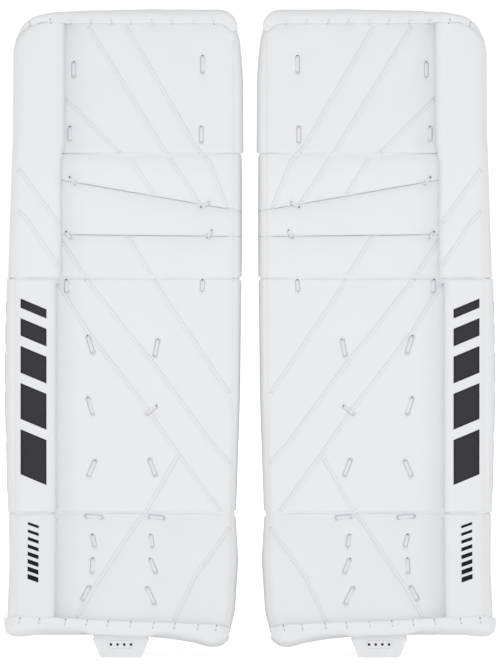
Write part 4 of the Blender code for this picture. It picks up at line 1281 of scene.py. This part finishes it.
PITCH, STITCH, THREAD_WIDTH, ROW_OFFSET = 0.0040, 0.0029, 0.0007, 0.0023
stitch_runs = {}
for label, line in SEAMS.items():
    if not label.endswith("_edge"):
        for run in lay_line(line, -ROW_OFFSET):
            stitch_runs.setdefault(BODY_OF[run[0][2]], []).append(run)
ROLL_BEND = ("knee", "thigh", (0.26, fold.y, fold.z - 0.022), (0.26, fold.y, fold.z + 0.022))
for body, runs in stitch_runs.items():
    places, lays, edges = [], [], []
    for run in runs:
        for i, (place, normal, _) in enumerate(run):
            if i:
                edges.append((len(places) - 1, len(places)))
            places.append(place + normal * 0.00015)
            lays.append(normal)
    made = grow(f"{body}_stitches", places, edges, {"lay": lays}, stitching, stitch_inputs,
                {"Pitch": PITCH, "Stitch length": STITCH, "Thread width": THREAD_WIDTH, "Seed": 5,
                 "Material": THREAD})
    print(made.name, "triangles", sum(len(f.vertices) - 2 for f in made.data.polygons))
    if body == "roll":
        settle(made, THREAD, bend=ROLL_BEND)
    else:
        settle(made, THREAD, body=body)

window_d, window_z = capsule(0.0)
window = [(TAB_CENTRE + (x - TAB_CENTRE), tab_hinge.y - 0.0021, z) for x, z in zip(window_d, window_z)]
made = grow("toe_tab_window_stitches", window, [(i, (i + 1) % 32) for i in range(32)],
            {"lay": [(0.0, -1.0, 0.0)] * 32}, stitching, stitch_inputs,
            {"Pitch": 0.0026, "Stitch length": 0.0020, "Thread width": 0.0006, "Seed": 9, "Material": THREAD})
settle(made, THREAD, body="toe_tab")

# %% [markdown]
# ### Lapped seams
#
# Where two cuts of leather meet, one laps over the other with its edge folded under. So a seam shows as a
# fine step with its row of stitches beside it. The band is swept in code: a low five-sided profile is set
# across the seam at each point that the ray found, which keeps it lying on the leather through every
# hollow.

# %% Lay the lapped seams
# Each row is how far a point lies across the seam, how far above the leather, and how much painted shade it
# holds: the folded edge holds the most, a thin line of painted shadow where the step would cast shade.
LAP = [(-0.0026, -0.0004, 1.0), (-0.0022, 0.0001, 1.0), (-0.0018, 0.0005, 0.2), (0.0004, 0.0003, 0.0),
       (0.0023, -0.0004, 0.0)]
EDGE_LAP = [(-0.0012, -0.0004, 0.6), (-0.0008, 0.0001, 0.6), (-0.0004, 0.0003, 0.1), (0.0004, 0.0002, 0.0),
            (0.0012, -0.0004, 0.0)]
top_edge = lambda d: 763.0 - 9.0 * max(0.0, (d - 246.0) / 30.0) ** 2
lapped = {label: (line, EDGE_LAP if label.endswith("_edge") else LAP) for label, line in SEAMS.items()}
lapped["top_binding_edge"] = ([(d, top_edge(d) + 0.6) for d in range(262, 38, -4)], EDGE_LAP)
lap_points, lap_faces, lap_shades = {}, {}, {}
for line, profile in lapped.values():
    for run in lay_line(line, 0.0, 0.002):
        points = lap_points.setdefault(BODY_OF[run[0][2]], [])
        faces = lap_faces.setdefault(BODY_OF[run[0][2]], [])
        shades = lap_shades.setdefault(BODY_OF[run[0][2]], [])
        base, sides = len(points), len(profile)
        for i, (place, normal, _) in enumerate(run):
            way = (run[min(i + 1, len(run) - 1)][0] - run[max(i - 1, 0)][0]).normalized()
            across = way.cross(normal).normalized()
            points += [tuple(place + across * side + normal * up) for side, up, _ in profile]
            shades += [shade for *_, shade in profile]
        for i in range(len(run) - 1):
            for j in range(sides):
                k = (j + 1) % sides
                faces.append([base + i * sides + j, base + i * sides + k,
                              base + (i + 1) * sides + k, base + (i + 1) * sides + j])
        faces.append([base + j for j in range(sides)][::-1])
        faces.append([base + (len(run) - 1) * sides + j for j in range(sides)])
for body in lap_points:
    laps = piece_from(f"{body}_lapped_seams", lap_points[body], lap_faces[body])
    laps.data.attributes.new("seam_shade", "FLOAT", "POINT").data.foreach_set("value", lap_shades[body])
    if body == "roll":
        settle(laps, WHITE_LEATHER, bend=ROLL_BEND)
    else:
        settle(laps, WHITE_LEATHER, body=body)
print("lapped seams", list(lap_points))

# %% [markdown]
# ## Laces
#
# Flat waxed laces tie the skin to the foam. Each shows as one short white strand that comes out of a
# punched hole and goes back into another. The tree bends a unit strand, flattens it, and stretches it to
# the space between its two holes. The whip stitches of both bindings are the same tree with a thinner
# thread.

# %% A lacing tree
lacing, given, lace_inputs = new_tree("lacing", [
    ("Width", "Float"), ("Thickness", "Float"), ("Rise", "Float"), ("Depth", "Float"),
    ("Material", "Material")])
rise = add(lacing, "ShaderNodeCombineXYZ", None, {0: -0.44, 2: given.outputs["Rise"]})
rise_back = add(lacing, "ShaderNodeCombineXYZ", None, {0: 0.44, 2: given.outputs["Rise"]})
start = add(lacing, "ShaderNodeCombineXYZ", None, {0: -0.5, 2: given.outputs["Depth"]})
stop = add(lacing, "ShaderNodeCombineXYZ", None, {0: 0.5, 2: given.outputs["Depth"]})
arch = add(lacing, "GeometryNodeCurvePrimitiveBezierSegment", None,
           {"Resolution": 12, "Start": start.outputs[0], "Start Handle": rise.outputs[0],
            "End Handle": rise_back.outputs[0], "End": stop.outputs[0]})
where = add(lacing, "GeometryNodeSplineParameter")
swell = add(lacing, "ShaderNodeFloatCurve", None, {"Value": where.outputs["Factor"]})
for at, height in ((0.15, 0.86), (0.5, 1.0), (0.85, 0.86)):
    swell.mapping.curves[0].points.new(at, height)
swell.mapping.curves[0].points[0].location = (0.0, 0.50)
swell.mapping.curves[0].points[-1].location = (1.0, 0.50)
swell.mapping.update()
fuller = add(lacing, "GeometryNodeSetCurveRadius", None, {0: arch.outputs[0], "Radius": swell.outputs[0]})
half = add(lacing, "ShaderNodeMath", {"operation": "MULTIPLY"}, {0: given.outputs["Thickness"], 1: 0.5})
ring = add(lacing, "GeometryNodeCurvePrimitiveCircle", {"mode": "RADIUS"},
           {"Resolution": 8, "Radius": half.outputs[0]})
strand = add(lacing, "GeometryNodeCurveToMesh", None,
             {"Curve": fuller.outputs[0], "Profile Curve": ring.outputs[0], "Fill Caps": True})
flatness = add(lacing, "ShaderNodeMath", {"operation": "DIVIDE"},
               {0: given.outputs["Width"], 1: given.outputs["Thickness"]})
flat_scale = add(lacing, "ShaderNodeCombineXYZ", None, {0: 1.0, 1: flatness.outputs[0], 2: 1.0})
flattened = add(lacing, "GeometryNodeTransform", None, {0: strand.outputs[0], "Scale": flat_scale.outputs[0]})
run_along = named(lacing, "run")
span = add(lacing, "ShaderNodeVectorMath", {"operation": "LENGTH"}, {0: run_along})
stretch = add(lacing, "ShaderNodeCombineXYZ", None, {0: span.outputs["Value"], 1: 1.0, 2: 1.0})
along = add(lacing, "FunctionNodeAlignRotationToVector", {"axis": "X"}, {"Vector": run_along})
turned = add(lacing, "FunctionNodeAlignRotationToVector", {"axis": "Z", "pivot_axis": "X"},
             {"Rotation": along.outputs[0], "Vector": named(lacing, "lay")})
dots = add(lacing, "GeometryNodeMeshToPoints", None, {0: given.outputs["Geometry"]})
tied = add(lacing, "GeometryNodeInstanceOnPoints", None,
           {0: dots.outputs[0], "Instance": flattened.outputs[0], "Rotation": turned.outputs[0],
            "Scale": stretch.outputs[0]})
close_tree(lacing, given, tied.outputs[0])

# %% A hole punching tree
punching, given, punch_inputs = new_tree("punched_holes", [
    ("Radius", "Float"), ("Seed", "Int"), ("Material", "Material")])
core = add(punching, "GeometryNodeMeshCylinder", {"fill_type": "NGON"},
           {"Vertices": 10, "Radius": given.outputs["Radius"], "Depth": 0.0008})
uneven = add(punching, "FunctionNodeRandomValue", {"data_type": "FLOAT"},
             {2: 0.70, 3: 1.1, "Seed": given.outputs["Seed"]})
own_size = add(punching, "ShaderNodeVectorMath", {"operation": "LENGTH"}, {0: named(punching, "lay")})
uneven = add(punching, "ShaderNodeMath", {"operation": "MULTIPLY"},
             {0: uneven.outputs[1], 1: own_size.outputs["Value"]})
turned = add(punching, "FunctionNodeAlignRotationToVector", {"axis": "Z"}, {"Vector": named(punching, "lay")})
dots = add(punching, "GeometryNodeMeshToPoints", None, {0: given.outputs["Geometry"]})
punched = add(punching, "GeometryNodeInstanceOnPoints", None,
              {0: dots.outputs[0], "Instance": core.outputs[0], "Rotation": turned.outputs[0],
               "Scale": uneven.outputs[0]})
close_tree(punching, given, punched.outputs[0])

# %% Tie the laces and the bindings
LACE_WIDTH, LACE_THICK = 0.0044, 0.0016


def tie(name, ends, body_filter, width, thick, rise_height, hole_radius, cord, beyond, far_hole=0.45,
        bed=None):
    """Strands and holes between pairs of (d, height) ends, one mesh for each body. The far hole is mostly
    hidden under its strand. The last argument is how much wider than the strand the grey rim under it is: a
    painted shadow that outlines the lace."""
    by_body = {}
    for first, last in ends:
        a, b = (meet((end[0] * METRES, -0.5, end[1] * METRES), (0.0, 1.0, 0.0)) for end in (first, last))
        if not a or not b:
            continue
        body = BODY_OF[a[2]] if a[2] in body_filter else BODY_OF[b[2]]
        lay = (a[1] + b[1]).normalized()
        by_body.setdefault(body, []).append((a, b, lay))
    for body, found in by_body.items():
        middles = []
        for a, b, _ in found:
            middle = (a[0] + b[0]) / 2
            middles.append((meet((middle.x, -0.5, middle.z), (0.0, 1.0, 0.0)) or [middle])[0])
        vectors = {"lay": [l for *_, l in found], "run": [b[0] - a[0] for a, b, _ in found]}
        strands = grow(f"{body}_{name}", middles, [], vectors, lacing, lace_inputs,
                       {"Width": width, "Thickness": thick, "Rise": rise_height, "Depth": -thick * 0.9,
                        "Material": cord})
        settle(strands, cord, body=body)
        # The rim under each lace is painted shadow: a grey strip a little wider than the strand, so a dark
        # outline shows round it.
        if bed:
            vectors["run"] = [(b[0] - a[0]) * 1.06 for a, b, _ in found]
            shadow_rims = grow(f"{body}_{name}_beds", middles, [], vectors, lacing, lace_inputs,
                        {"Width": width + bed, "Thickness": thick * 0.4, "Rise": 0.0002, "Depth": -0.0002,
                         "Material": LACE_SHADOW_RIM})
            settle(shadow_rims, LACE_SHADOW_RIM, body=body)
        spots, lays = [], []
        for a, b, lay in found:
            way = (b[0] - a[0]).normalized()
            for end, sign, share in ((a, -1.0, 1.0), (b, 1.0, far_hole)):
                near = end[0] + way * sign * beyond
                hit = meet((near.x, -0.5, near.z), (0.0, 1.0, 0.0))
                spots.append((hit or end)[0] - (hit or end)[1] * 0.00015)
                lays.append((hit or end)[1] * share)
        # The holes are dark discs of painted shadow, for the shade inside each punched hole.
        holes = grow(f"{body}_{name}_holes", spots, [], {"lay": lays}, punching, punch_inputs,
                     {"Radius": hole_radius, "Seed": 3, "Material": HOLE_SHADOW})
        settle(holes, HOLE_SHADOW, body=body)


tie("laces", LACES, ("shin_cover", "boot_cover", "thigh_cover", "knee_roll_lower", "knee_roll_middle",
                     "knee_roll_upper"), LACE_WIDTH, LACE_THICK, 0.0012, 0.0012, LACE_CORD, 0.0006,
                     bed=0.0013)


def ends_over(places, edge, start, end):
    """Ends of the whip stitches over a binding's edge, both given in millimetres above the edge."""
    return [((d, edge(d) + start), (d + 1.0, edge(d) + end)) for d in places]


TOP_STITCHES = [264.9, 239.6, 215.5, 191.9, 166.6, 143.3, 118.0, 93.9, 67.4, 43.3]
LOW_STITCHES = [275.1, 251.6, 220.8, 195.0, 169.8, 142.7, 115.2, 89.8, 62.0, 40.0]
low_edge = lambda d: float(BREAKS["boot"].z + (boot_floor(d * METRES)) * math.cos(LEAN["boot"])) * 1000.0
WHIP_WIDTH, WHIP_THICK, WHIP_RISE, WHIP_HOLE_BEYOND = 0.0013, 0.0008, 0.0010, 0.0002
tie("top_whip", ends_over(TOP_STITCHES, top_edge, 0.4, 4.8), ("top_binding",), WHIP_WIDTH, WHIP_THICK,
    WHIP_RISE, 0.0008, LACE_CORD, WHIP_HOLE_BEYOND, far_hole=0.8)
tie("low_whip", ends_over(LOW_STITCHES, low_edge, 0.6, -4.6), ("bottom_binding",), WHIP_WIDTH, WHIP_THICK,
    WHIP_RISE, 0.0007, LACE_CORD, WHIP_HOLE_BEYOND, far_hole=0.8)
print("laces tied")

# %% [markdown]
# ## Marks
#
# Plain slanted bars in dark film dress the outer roll, with smaller ones on the boot and a second set on
# the side wall. Each bar is a thin slab of two skins. Every point of it is sent back onto the roll, so the
# film lies on the leather like a pressed transfer.

# %% Film bars
def film_bar(points, faces, low, high, across, slant, cast, cell=0.0030):
    """Adds one slanted bar between two heights: cast(s, height) gives its place and normal on the leather."""
    s, v, w, quads = skin_of_box(stations(across[1] - across[0], cell), stations(high - low, cell),
                                 [0.0, 1.0])
    base = len(points)
    for i in range(len(s)):
        side = mix(across[0], across[1], s[i])
        found = cast(side, mix(low, high, v[i]) + slant * (s[i] - 0.5))
        if not found:
            return
        place, normal, _ = found
        points.append(tuple(place + normal * (0.00030 if w[i] == 0.0 else -0.00030)))
    faces.extend([base + int(index) for index in quad] for quad in quads)


def from_front(d, z):
    return meet((d, -0.5, z), (0.0, 1.0, 0.0))


def from_side(y, z):
    return meet((0.6, y, z), (-1.0, 0.0, 0.0))


def bar_column(name, at, gap, heights, across, slant, cast):
    """A column of charcoal bars on the shin, each shorter than the one below it."""
    points, faces = [], []
    for tall in heights:
        film_bar(points, faces, at, at + tall, across, slant, cast)
        at += tall + gap
    settle(piece_from(name, points, faces), MARK_FILM, body="shin")


ROLL_BARS_ACROSS = (0.2445, 0.2755)
SIDE_BARS_ACROSS = (FACE_PLANE + 0.0015, FACE_PLANE + 0.0320)
bar_column("roll_bars", 0.2140, 0.0125, (0.054, 0.043, 0.032, 0.021, 0.011), ROLL_BARS_ACROSS, 0.013,
           from_front)
bar_column("side_bars", 0.1940, 0.0135, (0.058, 0.046, 0.034, 0.023, 0.012), SIDE_BARS_ACROSS, -0.013,
           from_side)

BOOT_BARS, BOOT_BARS_START, BOOT_BAR_PITCH = 8, 0.0935, 0.0092
BOOT_BAR_TALL, BOOT_BAR_SHRINK = 0.0058, 0.0004
points, faces = [], []
for i in range(BOOT_BARS):
    start = BOOT_BARS_START + i * BOOT_BAR_PITCH
    film_bar(points, faces, start, start + BOOT_BAR_TALL - BOOT_BAR_SHRINK * i, (0.2535, 0.2665), 0.0045,
             from_front, 0.0022)
settle(piece_from("boot_bars", points, faces), SMALL_MARK_FILM, body="boot")
print("marks laid")

# %% [markdown]
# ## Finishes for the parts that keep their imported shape
#
# The knee's foam base, the stiffener and the toe tab are right as they are, so each only gets its material.
# The foam cores are hidden inside the skins that stand for them, and are given foam all the same.

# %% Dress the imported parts
PACKED_FINISH = {"core": FOAM, "knee_base": FOAM, "stiffener": SHEET, "toe_tab": BINDING_LEATHER}
for name, packed in frame["nodes"].items():
    for ending, finish in PACKED_FINISH.items():
        if name.endswith(ending):
            packed.data.materials.clear()
            packed.data.materials.append(finish)
    if not packed.hide_render:
        print("keeps its packed shape:", name)

# %% [markdown]
# ## Floor, light and camera
#
# The pads stand on a pale floor in a white room. The world lights them from everywhere, a little more from
# the front than from behind, which suits a white product. One large soft panel in front gives the slopes
# and seams their shading. The floor and the world look brighter to the camera than the light they give, so
# the ground stays white while the lower edges keep their shade. The camera looks straight at the face from
# far away with a long lens, so the sides hardly show.

# %% Floor
floor_mesh = bpy.data.meshes.new("floor")
floor_mesh.from_pydata([(-12, -12, 0), (12, -12, 0), (12, 12, 0), (-12, 12, 0)], [], [(0, 1, 2, 3)])
floor = bpy.data.objects.new("floor", floor_mesh)
bpy.context.scene.collection.objects.link(floor)
floor_finish = plain_finish("studio_floor_painted_white", "#F6F6F6", "#F8F8F8", 40.0, 0.01, 0.9,
                            Emission_Color=(1.0, 1.0, 1.0, 1.0))
floor_tree = floor_finish.node_tree
GLOW_ON_PADS, GLOW_TO_CAMERA = 0.24, 0.65
straight = add(floor_tree, "ShaderNodeLightPath").outputs["Is Camera Ray"]
glow = add(floor_tree, "ShaderNodeMapRange", None,
           {"Value": straight, "To Min": GLOW_ON_PADS, "To Max": GLOW_TO_CAMERA})
floor_tree.links.new(glow.outputs[0], floor_tree.nodes["Principled BSDF"].inputs["Emission Strength"])
floor_mesh.materials.append(floor_finish)

# %% Light
ROOM_LIGHT, BEHIND_LIGHT, SEEN_WHITE = 0.86, 0.68, 1.1
world = bpy.data.worlds.new("white_room")
bpy.context.scene.world = world
world.use_nodes = True
room = world.node_tree
room.nodes.clear()
seen = add(room, "ShaderNodeBackground", None, {"Color": (1.0, 1.0, 1.0, 1.0), "Strength": SEEN_WHITE})
way = add(room, "ShaderNodeSeparateXYZ", None, {0: add(room, "ShaderNodeTexCoord").outputs["Generated"]})
fronted = add(room, "ShaderNodeMapRange", None, {"Value": way.outputs["Y"], "From Min": 1.0, "From Max": -1.0,
                                                 "To Min": BEHIND_LIGHT, "To Max": ROOM_LIGHT})
lights = add(room, "ShaderNodeBackground", None,
             {"Color": (0.996, 0.994, 1.0, 1.0), "Strength": fronted.outputs[0]})
ray = add(room, "ShaderNodeLightPath")
either = add(room, "ShaderNodeMixShader", None, {0: ray.outputs["Is Camera Ray"], 1: lights.outputs[0],
                                                 2: seen.outputs[0]})
add(room, "ShaderNodeOutputWorld", None, {"Surface": either.outputs[0]})


def soft_panel(name, at, aim, size, power):
    light = bpy.data.lights.new(name, "AREA")
    light.shape, light.size, light.size_y, light.energy = "RECTANGLE", size[0], size[1], power
    lamp = bpy.data.objects.new(name, light)
    lamp.location = at
    lamp.rotation_euler = (Vector(aim) - Vector(at)).to_track_quat("-Z", "Y").to_euler()
    bpy.context.scene.collection.objects.link(lamp)


soft_panel("front_panel", (0.0, -2.8, 0.35), (0.0, 0.0, 0.33), (2.6, 1.4), 13.0)

# %% Camera
VIEW_DISTANCE, VIEW_TALL, VIEW_HEIGHT, SENSOR = 6.0, 0.803, 0.3895, 36.0
camera_data = bpy.data.cameras.new("front_view")
camera_data.sensor_width = SENSOR
camera_data.lens = SENSOR * VIEW_DISTANCE / VIEW_TALL
camera = bpy.data.objects.new("front_view", camera_data)
camera.location = (0.0, FACE_PLANE - VIEW_DISTANCE, VIEW_HEIGHT)
camera.rotation_euler = (math.radians(90.0), 0.0, 0.0)
bpy.context.scene.collection.objects.link(camera)
bpy.context.scene.camera = camera
bpy.context.scene.view_settings.view_transform = "Standard"
